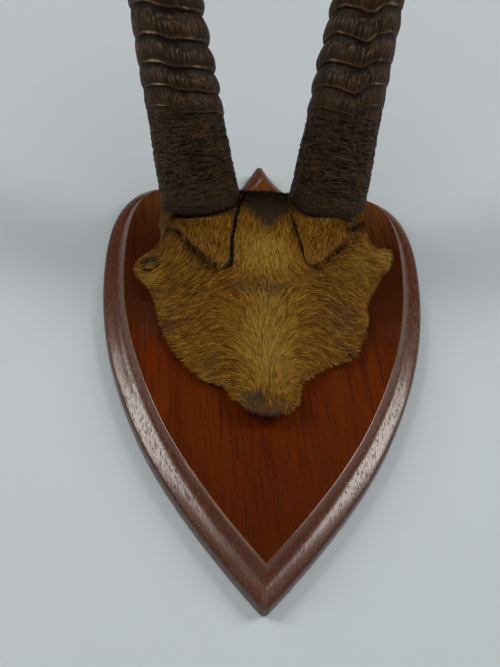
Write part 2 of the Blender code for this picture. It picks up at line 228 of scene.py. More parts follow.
def noted(tree, name, output="Fac"):
    """What the points of the mesh note under a name."""
    return add(tree, "Attribute", attribute_name=name).outputs[output]


def noise(tree, where, scale, stretch=(1, 1, 1), detail=3.0, rough=0.55):
    """Noise at places that are first stretched: a small number makes long features that way."""
    placed = add(tree, "Mapping", {"Vector": where, "Scale": stretch}).outputs[0]
    inputs = {"Vector": placed, "Scale": scale, "Detail": detail, "Roughness": rough}
    return add(tree, "TexNoise", inputs).outputs["Fac"]


print("finishes are made of Principled shaders")

# %% [markdown]
# Values and colours are mixed in the same few ways in every finish: spread out, multiplied,
# blended and laid over each other.

# %% Helpers that mix values and colours
def spread(tree, value, low, high, to_low=0.0, to_high=1.0):
    """A value between low and high, spread out to a new range and held there."""
    inputs = {"Value": value, "From Min": low, "From Max": high, "To Min": to_low, "To Max": to_high}
    return add(tree, "MapRange", inputs).outputs[0]


def combine(tree, operation, first, second):
    """One step of arithmetic on two values."""
    return add(tree, "Math", {0: first, 1: second}, operation=operation).outputs[0]


def times(tree, first, *others):
    """The product of two or more values."""
    for other in others:
        first = combine(tree, "MULTIPLY", first, other)
    return first


def blend(tree, share, first, second):
    """A share of the second colour over the first one."""
    colours = {}
    for key, colour in ((6, first), (7, second)):
        colours[key] = (*colour, 1.0) if isinstance(colour, tuple) else colour
    return add(tree, "Mix", {0: share, **colours}, data_type="RGBA", blend_type="MIX").outputs[2]


def layered(tree, colour, *layers):
    """A colour under layers: each is a share, and the colour that it lays over what is there."""
    for share, over in layers:
        colour = blend(tree, share, colour, over)
    return colour


def feed(tree, shader, **values):
    """Link values to the shader's sockets; an underscore stands for the space in a socket's name."""
    for socket, value in values.items():
        tree.links.new(value, shader.inputs[socket.replace("_", " ")])


def roughen(tree, shader, height, distance):
    """Fine relief that is too small to model, as a bump over the shader's normal."""
    bump = add(tree, "Bump", {"Height": height, "Distance": distance, "Strength": 1.0})
    feed(tree, shader, Normal=bump.outputs[0])


print("a finish is a base colour with layers over it")

# %% [markdown]
# ## The shield
# The real board is cut to a shield shape with a pointed top and an ogee moulding, a broad roll
# that turns into a hollow, worked all round its front edge. A Bevel modifier with a custom profile
# would break at the sharp points. So the outline is drawn once as a curve and moved inwards step
# by step while its height follows the moulding. Where the two sides meet on the centre line they
# make the mitre that the real moulding has there.

# %% The outline of the shield
BOARD = 19.0                        # thickness in millimetres, like all the shield's sizes here
EDGE = 7.5                          # height of the square edge below the moulding
MOULDING = 12.8                     # width of the moulding
FILLET = 1.9                        # the small step from the moulding up to the flat field
HALF_OUTLINE = [                    # places down the right side: x, z, then handles before and after
    ((2.0, 116.2), (2.0, 116.2), (5.2, 109.5)),
    ((19.5, 87.2), (12.5, 91.0), (27.5, 83.5)),
    ((58.0, 88.0), (44.0, 87.0), (86.0, 90.0)),
    ((101.6, 20.0), (101.6, 70.0), (101.6, -45.0)),
    ((70.0, -123.0), (86.0, -88.0), (53.0, -160.0)),
    ((1.6, -222.4), (20.5, -201.0), (1.6, -222.4)),
]
OUTLINE_STEP = 2.4                  # about this far between points
CURVE_STEPS = 120                   # each stretch of curve is first drawn in this many steps
POINT_LEAN = -2.2                   # the board's upper point was cut a little off centre


def half_outline():
    """Even steps down the right side of the edge, from the centre line to the centre line."""
    curve = [(0.0, HALF_OUTLINE[0][0][1])]
    for start, end in zip(HALF_OUTLINE, HALF_OUTLINE[1:]):
        knots = [Vector(place) for place in (start[0], start[2], end[1], end[0])]
        curve += [tuple(p)[:2] for p in interpolate_bezier(*knots, CURVE_STEPS)[:-1]]
    curve += [HALF_OUTLINE[-1][0], (0.0, HALF_OUTLINE[-1][0][1])]
    curve = np.array(curve)
    run = np.concatenate([[0], np.cumsum(np.linalg.norm(np.diff(curve, axis=0), axis=1))])
    steps = np.linspace(0, run[-1], round(run[-1] / OUTLINE_STEP))
    steps[1] = HALF_OUTLINE[0][0][0]    # the upper point has a tiny flat of its own
    return np.stack([np.interp(steps, run, curve[:, 0]), np.interp(steps, run, curve[:, 1])], 1)


def moved_in(outline, inset):
    """The half outline moved inwards; what passes the centre line gathers in its mitre."""
    mirrored = outline * (-1, 1)
    run = np.concatenate([mirrored[1:2], outline, mirrored[-2:-1]])
    along = run[2:] - run[:-2]
    along /= np.linalg.norm(along, axis=1, keepdims=True)
    moved = outline + inset * np.stack([along[:, 1], -along[:, 0]], 1)
    half = len(moved) // 2
    for order in (np.arange(half), np.arange(len(moved) - 1, half, -1)):
        passed = np.flatnonzero(moved[order, 0] <= 0)
        if len(passed) and passed[-1] > 0:
            last, first = moved[order[passed[-1]]], moved[order[passed[-1] + 1]]
            meet = last + (first - last) * (-last[0] / (first[0] - last[0]))
            moved[order[: passed[-1] + 1]] = (0.0, meet[1])
    return moved


outline = half_outline()
print("outline:", len(outline), "points down one side,", round(2 * outline[:, 0].max(), 1), "mm wide")

# %% [markdown]
# The moulding is a list of steps: how far in, and how high. Real varnished wood has no knife-sharp
# arris, so each corner is eased by a few close steps, and the last strip of the flat field stays
# level so that its shading is flat too.

# %% The profile of the moulding
ROLL_PLACES = (0.0, 1.2, 6.9)       # across the rounded outer part, and how steep it is at each place
ROLL_SLOPES = (1.02, 0.70, 0.32)
ROLL_SAMPLES = 60
HOLLOW_POWER = 2.0                  # how late the hollow starts to rise


def roll_height(inset):
    """Height gained over the roll: its mean slope so far, times the way."""
    return np.interp(np.linspace(0, inset, ROLL_SAMPLES), ROLL_PLACES, ROLL_SLOPES).mean() * inset


def moulding_height(inset):
    """Height over the square edge: a broad roll that grows level, then a hollow that grows steep."""
    roll, level = ROLL_PLACES[-1], ROLL_SLOPES[-1]
    in_hollow = max(inset - roll, 0.0)
    width = MOULDING - roll
    left_over = BOARD - FILLET - EDGE - roll_height(roll) - level * width
    hollow = level * in_hollow + left_over * (in_hollow / width) ** HOLLOW_POWER
    return roll_height(min(inset, roll)) + hollow


MOULDING_STEPS = 24
# from the eased back edge, up the square edge, over the moulding and its step, to the level field
profile = [(0.9, 0.0), (0.35, 0.12), (0.1, 0.4), (0.0, 0.9), (0.0, EDGE - 1.0), (0.06, EDGE - 0.45)]
for step in range(1, MOULDING_STEPS + 1):
    inset = 0.2 + (MOULDING - 0.2) * step / MOULDING_STEPS
    profile.append((inset, EDGE + moulding_height(inset)))
profile += [
    (MOULDING + 0.12, BOARD - 0.45), (MOULDING + 0.3, BOARD - 0.14), (MOULDING + 0.55, BOARD - 0.02),
    (MOULDING + 0.9, BOARD), (MOULDING + 2.0, BOARD),
]
print("moulding:", len(profile), "steps")

# %% [markdown]
# Both sides of the board are loops round it, joined into a band, with one flat face on the field
# and one on the back. Years of handling have left dents in the edge: each one is a smooth hollow
# pressed into the nearest points.

# %% The board as a mesh
DENTS = (                           # x, z, radius and depth of a dent, in millimetres
    (-69, -124, 1.5, 0.5), (-97.5, 60, 1.6, 0.35), (-99, 35, 2.2, 0.3), (-58, -146, 2.0, 0.25),
    (92, -52, 2.4, 0.3), (66, -133, 1.8, 0.35), (30, -192, 2.2, 0.3), (-24, -200, 1.8, 0.3),
    (101, 3, 2.6, 0.3), (84, 82, 2.5, 0.3), (-80, -98, 2.0, 0.3),
)
HAND_WORK = 0.16                    # how uneven the tool left the moulding
POINT_FROM, POINT_TO = 82, 104      # the lean of the upper point grows between these heights


def board_loop(inset, height):
    """One loop of points round the board, clockwise as seen from the front."""
    right = moved_in(outline, inset)
    left = right[-2:0:-1] * (-1, 1)
    x, z = np.concatenate([right, left]).T
    return np.stack([x + POINT_LEAN * rise(POINT_FROM, POINT_TO, z), np.full(len(x), -height), z], 1)


def board_mesh():
    """Points and faces of the board: the band of loops, the field and the back."""
    loops = np.array([board_loop(inset, height) for inset, height in profile])
    rows, around, _ = loops.shape
    share = np.arange(around) / around
    inward = np.array([inset for inset, _ in profile])
    worked = rise(0.0, 3.0, inward) * (1 - rise(MOULDING - 1, MOULDING, inward))
    loops[..., 1] += HAND_WORK * worked[:, None] * hills(share, inward[:, None] / 5, 46, 21)
    points = loops.reshape(-1, 3)
    for x, z, radius, depth in DENTS:
        distance = np.hypot(points[:, 0] - x, points[:, 2] - z)
        points[:, 1] += depth * np.exp(-((distance / radius) ** 2)) * (points[:, 1] < -0.5)
    faces = tube_faces(rows, around)
    field = np.arange((rows - 1) * around, rows * around)[None]
    back = np.arange(around)[::-1][None]
    return points, faces, field, back


points, faces, field, back = board_mesh()
shield_mesh = mesh_from("board_blank", points * MM, faces, field, back)
board_points = points
board_insets = np.repeat([inset for inset, _ in profile], len(points) // len(profile))
print("board:", len(points), "points")

# %% [markdown]
# The two screws come in from behind, so the board has countersunk holes, a hair wider than the
# screws. A hole is cut with a Boolean: a turned solid of its shape is made first, and what it
# shares with the board is taken away.

# %% The cutters of the screw holes
CLEARANCE = 0.3
SCREW_PLACES = {name: sum(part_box(name), Vector()) / 2 for name in ("upper_screw", "lower_screw")}
HEAD_RADIUS, SHANK_RADIUS = 4.4 + CLEARANCE, 2.2 + CLEARANCE
HOLE_PROFILE = ((HEAD_RADIUS + 0.4, 1.0), (HEAD_RADIUS, -1.2), (SHANK_RADIUS, -3.2), (SHANK_RADIUS, -25.0))
HOLE_SIDES = 48


def hole_cutter(place):
    """A turned solid: head, taper and shank of the hole, from behind the board to its front."""
    turns = np.linspace(0, 2 * pi, HOLE_SIDES, endpoint=False)
    points = []
    for radius, height in HOLE_PROFILE:
        x, z = radius * np.cos(turns) + place.x / MM, radius * np.sin(turns) + place.z / MM
        points.append(np.stack([x, np.full(HOLE_SIDES, height), z], 1))
    rows = len(HOLE_PROFILE)
    caps = np.arange(HOLE_SIDES)[None]
    mesh = mesh_from("hole", np.concatenate(points) * MM, tube_faces(rows, HOLE_SIDES),
                     caps[:, ::-1], caps + (rows - 1) * HOLE_SIDES)
    return bpy.data.objects.new("hole", mesh)


print("screw holes at heights", [round(place.z / MM, 1) for place in SCREW_PLACES.values()])

# %% [markdown]
# Where the moulding's loops meet in the mitre, points that gathered on the centre line lie on each
# other, and faces between them have no area. They are merged away before the holes are cut. Last,
# corners sharper than an eased edge are kept sharp.

# %% Merge the mitres and drill the screw holes
MERGE_WITHIN = 0.02
SHARP_FROM = radians(38)


def face_outward(mesh, merge=0.0):
    """Merge points that lie on each other and turn every face outward."""
    bm = bmesh.new()
    bm.from_mesh(mesh)
    if merge:
        bmesh.ops.remove_doubles(bm, verts=bm.verts, dist=merge)
    bmesh.ops.recalc_face_normals(bm, faces=bm.faces)
    bm.to_mesh(mesh)
    bm.free()


face_outward(shield_mesh, MERGE_WITHIN * MM)
drilled = bpy.data.objects.new("drilled", shield_mesh)
bpy.context.scene.collection.objects.link(drilled)
cutters = [hole_cutter(place) for place in SCREW_PLACES.values()]
for cutter in cutters:
    bpy.context.scene.collection.objects.link(cutter)
    hole = drilled.modifiers.new("hole", "BOOLEAN")
    hole.object = cutter
bpy.context.view_layer.update()
cut_board = drilled.evaluated_get(bpy.context.evaluated_depsgraph_get())
shield_mesh = bpy.data.meshes.new_from_object(cut_board)
shield_mesh.name = "shield_board"
for scratch in [drilled, *cutters]:
    bpy.data.objects.remove(scratch)
shield_mesh.set_sharp_from_angle(angle=SHARP_FROM)
print("drilled board:", len(shield_mesh.polygons), "faces")

# %% [markdown]
# The wood's colours follow the moulding, so each point has to know how far in from the edge it
# lies. The Boolean made new points and kept no notes. So each point looks up the old point at its
# own place in a tree of places, which finds the nearest one fast, and points that have none belong
# to a screw hole.

# %% Note how far in from the edge each point lies
FIELD_INSET = MOULDING + 2.0
SAME_PLACE = 0.05 * MM
known = KDTree(len(board_points))
for index, place in enumerate(board_points):
    known.insert(place * MM, index)
known.balance()
insets = np.full(len(shield_mesh.vertices), FIELD_INSET)
for vertex in shield_mesh.vertices:
    _, index, away = known.find(vertex.co)
    if away < SAME_PLACE:
        insets[vertex.index] = board_insets[index]
note(shield_mesh, "inset", insets)
print("points on the edge and moulding:", int((insets < MOULDING).sum()))

# %% [markdown]
# Mahogany has straight grain that runs up the board: long soft bands, fine fibres and short dark
# pores. All three are the same noise, stretched more or less along Z. A real board has a coat of
# varnish, and the shader's own gloss does as well as a second layer would. The wood is redder low
# on the field, darker beside the skull and at the lower point, and browner and paler between the
# shoulders. The moulding is browner and duller than the field, with open grain, and along the step
# between the two a thin pale line is painted in patches low on the board, as a painted highlight.

# %% The colours of the wood
WOOD = {
    "low field": (0.106, 0.0168, 0.0007), "beside the skull": (0.057, 0.0125, 0.0018),
    "shoulders": (0.235, 0.086, 0.023), "lower point": (0.058, 0.0088, 0.0003),
    "reddish patch": (0.115, 0.026, 0.014), "band": (0.060, 0.0086, 0.0004), "fibre": (0.034, 0.0052, 0.0003),
    "pore": (0.014, 0.0035, 0.0006), "moulding": (0.086, 0.021, 0.0040), "edge": (0.034, 0.010, 0.003),
    # the last colour is a painted highlight along the step from the moulding to the field
    "painted arris highlight": (0.32, 0.16, 0.07),
}
REDDISH_PATCHES = ((-70.5, -55.0, 8.0), (76.0, -45.0, 10.0))     # x, z and reach of two faint reddish patches
GRAIN_LEAN = radians(5)
print("wood colours:", ", ".join(WOOD))

# %% [markdown]
# The layers go from the plain field up to the painted highlight on the step. Where a layer shows
# comes from the height on the board, from the distance to its edge or from the grain. Pores make
# the moulding rougher, and are filled with varnish on the field.

# %% The varnished wood
wood, tree, shader = new_finish("varnished mahogany", 0.2, Specular_IOR_Level=0.72)
where = place_on(tree)
leaning = add(tree, "Mapping", {"Vector": where, "Rotation": (0.0, GRAIN_LEAN, 0.0)}).outputs[0]
bands = noise(tree, leaning, 60, (1, 1, 0.06), detail=2)
fibres = noise(tree, leaning, 720, (1, 1, 0.045), detail=4, rough=0.6)
pores = spread(tree, noise(tree, leaning, 1900, (1, 0.5, 0.13), detail=2), 0.58, 0.68)
cloud = noise(tree, where, 18, detail=3)
height = add(tree, "SeparateXYZ", {0: where}).outputs["Z"]
uneven = combine(tree, "ADD", height, times(tree, cloud, 0.016))
facing = add(tree, "SeparateXYZ", {0: add(tree, "NewGeometry").outputs["Normal"]}).outputs["Y"]
on_back = spread(tree, facing, 0.5, 0.9, 0.0, 2 * MOULDING)     # the flat back is no moulding
from_edge = combine(tree, "ADD", noted(tree, "inset"), on_back)
moulded = spread(tree, from_edge, MOULDING + 0.5, MOULDING - 0.2)
# painted highlight: a thin pale line in patches along the step to the field, fading out higher up
painted_arris_highlight = times(
    tree,
    spread(tree, from_edge, MOULDING - 0.2, MOULDING + 0.1),
    spread(tree, from_edge, MOULDING + 0.5, MOULDING + 0.3),
    spread(tree, cloud, 0.42, 0.62, 0.05, 0.7), spread(tree, height, 0.04, -0.02),
)
reddish_patches = []
for x, z, reach in REDDISH_PATCHES:
    middle = Vector((x, -BOARD, z)) * MM
    away = add(tree, "VectorMath", {0: where, 1: middle}, operation="DISTANCE").outputs["Value"]
    reddish_patches.append((spread(tree, away, reach * MM, 0.2 * reach * MM, 0.0, 0.5), WOOD["reddish patch"]))
colour = layered(
    tree, WOOD["low field"],
    (spread(tree, uneven, -0.060, -0.038), WOOD["beside the skull"]),
    *reddish_patches,
    (spread(tree, height, 0.02, 0.085, 0.0, 0.9), WOOD["shoulders"]),
    (spread(tree, height, -0.120, -0.185, 0.0, 0.65), WOOD["lower point"]),
    (spread(tree, bands, 0.42, 0.62, 0.0, 0.45), WOOD["band"]),
    (spread(tree, fibres, 0.46, 0.68, 0.0, 0.7), WOOD["fibre"]),
    (times(tree, moulded, 0.8), WOOD["moulding"]),
    (spread(tree, from_edge, 2.2, 0.6, 0.0, 0.6), WOOD["edge"]),
    (times(tree, pores, 0.4), WOOD["pore"]),
    (painted_arris_highlight, WOOD["painted arris highlight"]),
)
duller = times(tree, moulded, combine(tree, "ADD", times(tree, pores, 0.12), 0.045))
polish = combine(tree, "ADD", spread(tree, fibres, 0.4, 0.7, 0.19, 0.24), duller)
feed(tree, shader, Base_Color=colour, Roughness=polish)
grain = combine(tree, "SUBTRACT", times(tree, fibres, 0.5), pores)
open_grain = spread(tree, moulded, 0.0, 1.0, 0.05, 0.8)
roughen(tree, shader, times(tree, grain, open_grain), 0.00014)
place_piece(shield_mesh, "wood", wood, "shield")

# %% [markdown]
# ## The horns
# A horn is a sheath that grew in yearly pushes, so its lower half is a stack of rings. Each ring
# has a sharp lip below, a rounded crest just above it and a long slope up to the next lip. The
# rings stand out on the front and inner side and almost vanish on the outer side, and their line
# runs in a wave round the horn. A sweep along a curve object would carry one profile and no rings.
# So each horn is first a short list of measures: where it stands, how it leans, where its lowest
# lips are and how their line waves. The foot ends a little higher on the outer side, where the
# skin climbs over it.

# %% Where the horns run
HORN_LENGTH = 445.0                 # all in millimetres
HORN_RADIUS = 22.9
HORN_FLARE, HORN_FLARE_LENGTH = 1.9, 42.0       # how much wider the foot is, and how soon that dies away
HORN_DEPTH_RATIO = 1.10             # deeper from front to back than across
TIP_RADIUS = 1.4
AXIS_STEP = 2.5
HORNS = {
    "left_horn": {
        "base": (-40.8, -44.2, 26.0), "side": -1, "seed": 3,
        # arc length, rise and splay to the side in degrees
        "lean": (
            (0, 33.4, 13.2), (115, 34.5, 13), (200, 50, 14), (300, 65, 8), (380, 64, -4), (445, 54, -12),
        ),
        "lips": (61.3, 73.4, 86.6, 102.9, 119.9),
        "relief": 3.0,
        # angle round the horn (0 front, 90 inner side) and how far down the ring lies there
        "ring_dip": (
            (-180, -1), (-140, -4), (-90, -6.5), (-40, -6.2), (-30, -5.6), (-20, -4.5), (-10, -2.2),
            (0, -0.6), (10, 0.4), (20, 1.0), (30, 1.8), (42, 2.8), (65, 4.2), (90, 5.5), (130, 4), (180, -1),
        ),
        # angle, width and strength of the painted gleams on the lips
        "gleams": ((-29, 11, 1.0), (39, 9, 0.8)),
        # how much higher the foot ends, and the angles where that starts and is full
        "foot_cut": (4.2, 0, -60),
    },
    "right_horn": {
        "base": (36.3, -43.6, 29.4), "side": 1, "seed": 8,
        "lean": (
            (0, 32.7, 6.7), (115, 34, 7.5), (200, 50, 13), (300, 65, 9), (380, 64, -3), (445, 54, -10),
        ),
        "lips": (63.2, 76.0, 90.0, 106.0, 121.4),
        "relief": 2.3,
        "ring_dip": (
            (-180, -2), (-135, -6), (-90, -8), (-42, -7.7), (-30, -6.9), (-20, -5.7), (-16, -4.6),
            (-10, -2.8), (-6, -1.0), (0, -0.1), (5, 0), (15, -0.6), (25, -1.1), (45, -1.2), (65, 0.4),
            (80, 3), (100, 5), (140, 3), (180, -2),
        ),
        "gleams": ((-12, 8, 1.0), (-31, 10, 0.8), (40, 9, 0.5)),
        "foot_cut": (8.0, -12, -78),
    },
}


print("horns:", ", ".join(HORNS), " each", HORN_LENGTH, "mm long")

# %% [markdown]
# The horn's middle is found by walking along it in short steps, while its direction eases from one
# lean to the next. A Bezier curve could be drawn there, but with a walk the length comes out right
# by itself, which the rings need.

# %% Walk along the horns
def horn_track(horn):
    """Arc lengths, places and directions along the horn's middle."""
    lengths = np.arange(0, HORN_LENGTH + AXIS_STEP / 2, AXIS_STEP)
    marks, rises, splays = np.array(horn["lean"], float).T
    row = np.clip(np.searchsorted(marks, lengths, side="left") - 1, 0, len(marks) - 2)
    share = ease((lengths - marks[row]) / (marks[row + 1] - marks[row]))
    up = np.radians(rises[row] + (rises[row + 1] - rises[row]) * share)
    out = np.radians(splays[row] + (splays[row + 1] - splays[row]) * share)
    along = np.stack([horn["side"] * np.sin(out), -np.cos(out) * np.cos(up), np.cos(out) * np.sin(up)], 1)
    places = np.array(horn["base"]) + np.concatenate([[[0, 0, 0]], np.cumsum(along * AXIS_STEP, 0)[:-1]])
    return lengths, places, along


def girth(lengths):
    """Mean radius at an arc length."""
    share = lengths / HORN_LENGTH
    flare = HORN_FLARE * np.exp(-lengths / HORN_FLARE_LENGTH) * (1 - share)
    return TIP_RADIUS + (HORN_RADIUS - TIP_RADIUS) * (1 - share**1.6) ** 0.8 + flare


for name, horn in HORNS.items():
    print(name, "ends at", (horn_track(horn)[1][-1]).round(), "mm")

# %% [markdown]
# A ring seen from the side is one curve from groove to groove. On the front it is a sharp lip with
# a long slope, and towards the inner side it turns into a plain round bead. The lips that can be
# counted on each horn are listed, and further up the spacing grows evenly.

# %% The curve of one ring, and where the rings lie
NEXT_SPACING = 16.2                 # beyond the lips that are listed
SPACING_GROWTH = 0.25
RINGS_TO = 350.0
LIP_AT = 0.11                       # the lip's share of the way up a ring
CREST_AT = 0.34
MARK_BELOW_LIP = 1.4                # a ring starts this far below its lip
ROUND_OFF = 11                      # degrees over which the wave of a ring is rounded


def ring_shape(share, rounded):
    """Height of a ring from groove to groove: a sharp lip with a long slope, or a rounded bead."""
    lip = 0.78 * ease(np.clip(share / LIP_AT, 0, 1))
    crest = 0.22 * ease(np.clip((share - LIP_AT) / (CREST_AT - LIP_AT), 0, 1))
    slope = 0.5 + 0.5 * np.cos(pi * np.clip((share - CREST_AT) / (1 - CREST_AT), 0, 1) ** 1.25)
    bead = np.sin(pi * share**0.8) ** 0.75
    return (lip + crest) * slope * (1 - rounded) + bead * rounded


def ring_marks(horn):
    """Arc length of every ring's lower edge at the front of the horn."""
    marks = list(horn["lips"])
    spacing = NEXT_SPACING
    while marks[-1] < RINGS_TO:
        marks.append(marks[-1] + spacing)
        spacing += SPACING_GROWTH
    return np.array([marks[0] - 14.0, *marks]) - MARK_BELOW_LIP


def ring_dip(horn, inward):
    """How far down a ring lies at an angle round the horn."""
    angles, dips = np.array(horn["ring_dip"], float).T
    window = np.hanning(ROUND_OFF)[1:-1]
    half = len(window) // 2
    drawn = np.interp(np.arange(-180 - half, 181 + half), angles, dips, period=360)
    smooth = np.convolve(drawn, window / window.sum(), "valid")
    return np.interp(np.degrees(inward), np.arange(-180, 181), smooth)


for name, horn in HORNS.items():
    print(name, "has", len(ring_marks(horn)) - 1, "rings")

# %% [markdown]
# The rings are one formula over two numbers, how far along and how far round. It gives the height
# of the surface, and notes the lips, whose colour is partly painted highlight, and the grooves
# under them, where shade is painted darker.
# The strength of each ring varies a little, as it does on a grown horn.

# %% The rings as a height over the horn
RING_SINK = 0.35
RING_FADE = 230.0                   # the rings die away over this length before the tip
RING_STRENGTHS = (0.85, 1.1)        # weakest and strongest
FIRST_RINGS = (0.10, 0.45, 0.9)     # the lowest ones are hardly there
STRONG_SIDE = radians(50)           # the rings stand out most towards this angle
LIP_WIDTH = 0.036                   # as a share of the ring
DIP_START, DIP_GROWTH, DIP_FADE = 15.0, 35.0, 150.0


def counted_along(horn, lengths, inward):
    """Arc length as the rings count it, moved by their wave and by unevenness of three sizes."""
    seed, round_it = horn["seed"], inward / (2 * pi)
    reach = np.clip((lengths - DIP_START) / DIP_GROWTH, 0, 1)
    reach = reach * np.clip((HORN_LENGTH - lengths) / DIP_FADE, 0, 1)
    along = lengths + reach * ring_dip(horn, inward)
    along = along + 0.8 * hills(round_it, lengths / 18, 7, seed)
    along = along + 0.35 * hills(round_it, lengths / 9, 26, seed + 1)
    return along + 0.22 * hills(round_it, lengths / 5, 62, seed + 15)


def ring_relief(horn, along, inward):
    """Height of the rings, with notes of the lips, their painted gleams, the bellies and the painted shade
    in the grooves.
    """
    seed, round_it = horn["seed"], inward / (2 * pi)
    marks = ring_marks(horn)
    ring = np.clip(np.searchsorted(marks, along) - 1, 0, len(marks) - 2)
    share = np.clip((along - marks[ring]) / (marks[ring + 1] - marks[ring]), 0, 1)
    inside = (along > marks[0]) & (along < marks[-1])
    strength = np.random.default_rng(seed).uniform(*RING_STRENGTHS, len(marks))
    strength[:3] = FIRST_RINGS
    side = 0.24 + 0.76 * (0.5 + 0.5 * np.cos(inward - STRONG_SIDE)) ** 0.8
    side = side * (1 + 0.2 * hills(round_it, along / 14, 9, seed + 2))
    fade = np.clip((HORN_LENGTH - along) / RING_FADE, 0, 1) * strength[ring] * inside
    rounded = rise(radians(30), radians(75), inward) + 0.5 * rise(radians(-50), radians(-90), inward)
    shape = ring_shape(share, rounded)
    height = horn["relief"] * side * fade * (shape - RING_SINK * rise(marks[1], marks[2], along))

    turned = np.degrees(inward)
    # painted gleams: whitish highlights on the lips at these angles
    wear_and_gleam = sum(power * np.exp(-(((turned - angle) / width) ** 2)) for angle, width, power in horn["gleams"])
    wear_and_gleam = wear_and_gleam * rise(-0.5, 0.4, hills(round_it, along / 14, 34, seed + 13))
    strong = np.clip(fade * 1.4, 0, 1)
    lip = np.exp(-(((share - LIP_AT * 1.05) / LIP_WIDTH) ** 2)) * strong
    # the lips' colour, partly painted highlight, is kept to the side that faces the front
    front = rise(-0.5, 0.3, np.cos(inward))
    belly = rise(CREST_AT, 0.5, share) * (1 - rise(0.76, 0.93, share)) * strong
    # painted shade: darker in each groove and under the lip above it
    groove = np.clip((1 - rise(0.0, LIP_AT * 0.9, share)) + 0.8 * rise(0.70, 0.98, share), 0, 1)
    groove = groove * np.clip(fade * 1.5, 0, 1)
    return height, {"lip": lip * front, "wear_and_gleam": lip * wear_and_gleam, "groove": groove, "belly": belly}


probe = ring_relief(HORNS["left_horn"], np.arange(60.0, 200.0, 0.5), np.full(280, radians(30)))[0]
print("rings on the inner front:", round(float(np.ptp(probe)), 2), "mm high")

# %% [markdown]
# Below the rings the horn is wrinkled, gritty and flaking, and furrows run down to the foot. Fine
# fibres run up its whole length and fade on the smooth tip. These are more hills over the same two
# numbers, from broad to fine.

# %% Wrinkles, flakes and fibres
WRINKLE, GRIT, FLAKE, FURROW, FIBRE, SWELL = 0.36, 0.34, 0.50, 0.18, 0.32, 0.35     # heights
FOOT_DROP, FOOT_DROP_REACH = 1.0, 1.2           # the rim of the foot is rounded off
FULL_RELIEF_FROM = 9.0                          # a thinner horn has lower relief


def foot_cut(horn, inward):
    """How much further up the horn's foot ends on its outer side, where the skin climbs over it."""
    most, starts, full = horn["foot_cut"]
    outward = -np.degrees(inward)
    return most * rise(-starts, -full, outward) * (1 - rise(130, 170, outward))


def horn_relief(horn, lengths, inward):
    """Height in millimetres over the plain horn, with notes for the material."""
    seed, round_it = horn["seed"], inward / (2 * pi)
    along = counted_along(horn, lengths, inward)
    height, notes = ring_relief(horn, along, inward)

    rugged = (0.45 * rise(1, 5, lengths) + 0.55 * rise(8, 22, lengths)) * (1 - rise(50, 74, along))
    wavy = lengths + 2.0 * hills(round_it, lengths / 16, 6, seed + 3)
    wavy = wavy + 0.8 * hills(round_it, lengths / 6, 21, seed + 4)
    wrinkles = 0.7 * hills(round_it, wavy / 4.5, 11, seed + 5)
    wrinkles = wrinkles + 0.7 * hills(round_it, wavy / 1.5, 34, seed + 6)
    grit = hills(round_it, wavy / 0.8, 66, seed + 7)
    flakes = rise(0.30, 0.55, hills(round_it, wavy / 1.15, 44, seed + 8))
    height = height + rugged * (WRINKLE * wrinkles + GRIT * grit - FLAKE * flakes)
    leaning = round_it + 0.012 * hills(round_it, lengths / 5, 9, seed + 16)
    furrows = 0.4 * hills(round_it, wavy / 1.7, 14, seed + 9)
    furrows = furrows + 0.9 * hills(leaning, lengths / 12, 66, seed + 14)
    height = height + (1 - rise(10, 26, lengths)) * FURROW * furrows

    fibre = FIBRE * hills(round_it, lengths / 8, 62, seed + 10)
    swell = SWELL * hills(round_it, lengths / 30, 5, seed + 12)
    height = height + (fibre + swell) * (1 - 0.75 * rise(260, 380, lengths))
    from_foot = lengths - foot_cut(horn, inward)
    height = height - FOOT_DROP * np.exp(-np.maximum(from_foot, 0) / FOOT_DROP_REACH)
    height = height * np.minimum(1, girth(lengths) / FULL_RELIEF_FROM)

    # painted shade at the foot, where the horn meets the skin
    notes["groove"] = np.maximum(notes["groove"], 0.75 * (1 - rise(1.0, 9.0, from_foot)))
    notes["crust"] = np.clip(rugged * (0.30 * wrinkles + 0.60 * grit - 0.7 * flakes), -1, 1)
    notes["rugged"] = rugged
    return height, notes


probe = horn_relief(HORNS["left_horn"], np.arange(20.0, 50.0, 0.25), np.zeros(120))[0]
print("wrinkles on the front:", round(float(np.ptp(probe)), 2), "mm high")

# %% [markdown]
# The horn is then a tube of loops round its middle, closer together in the ringed half than near
# the smooth tip. Each point also notes its place on the horn as if it were straight, so that the
# material's fibres can run along the horn round its bend.

# %% The horns as meshes
AROUND = 144
ROWS_TO_MIDDLE, ROWS_TO_TIP = 340, 190
MIDDLE_AT = 130.0
ROW_SPREAD = 0.93
FOOT_REACH = 40.0                   # over this length the loops straighten out above the slanting foot


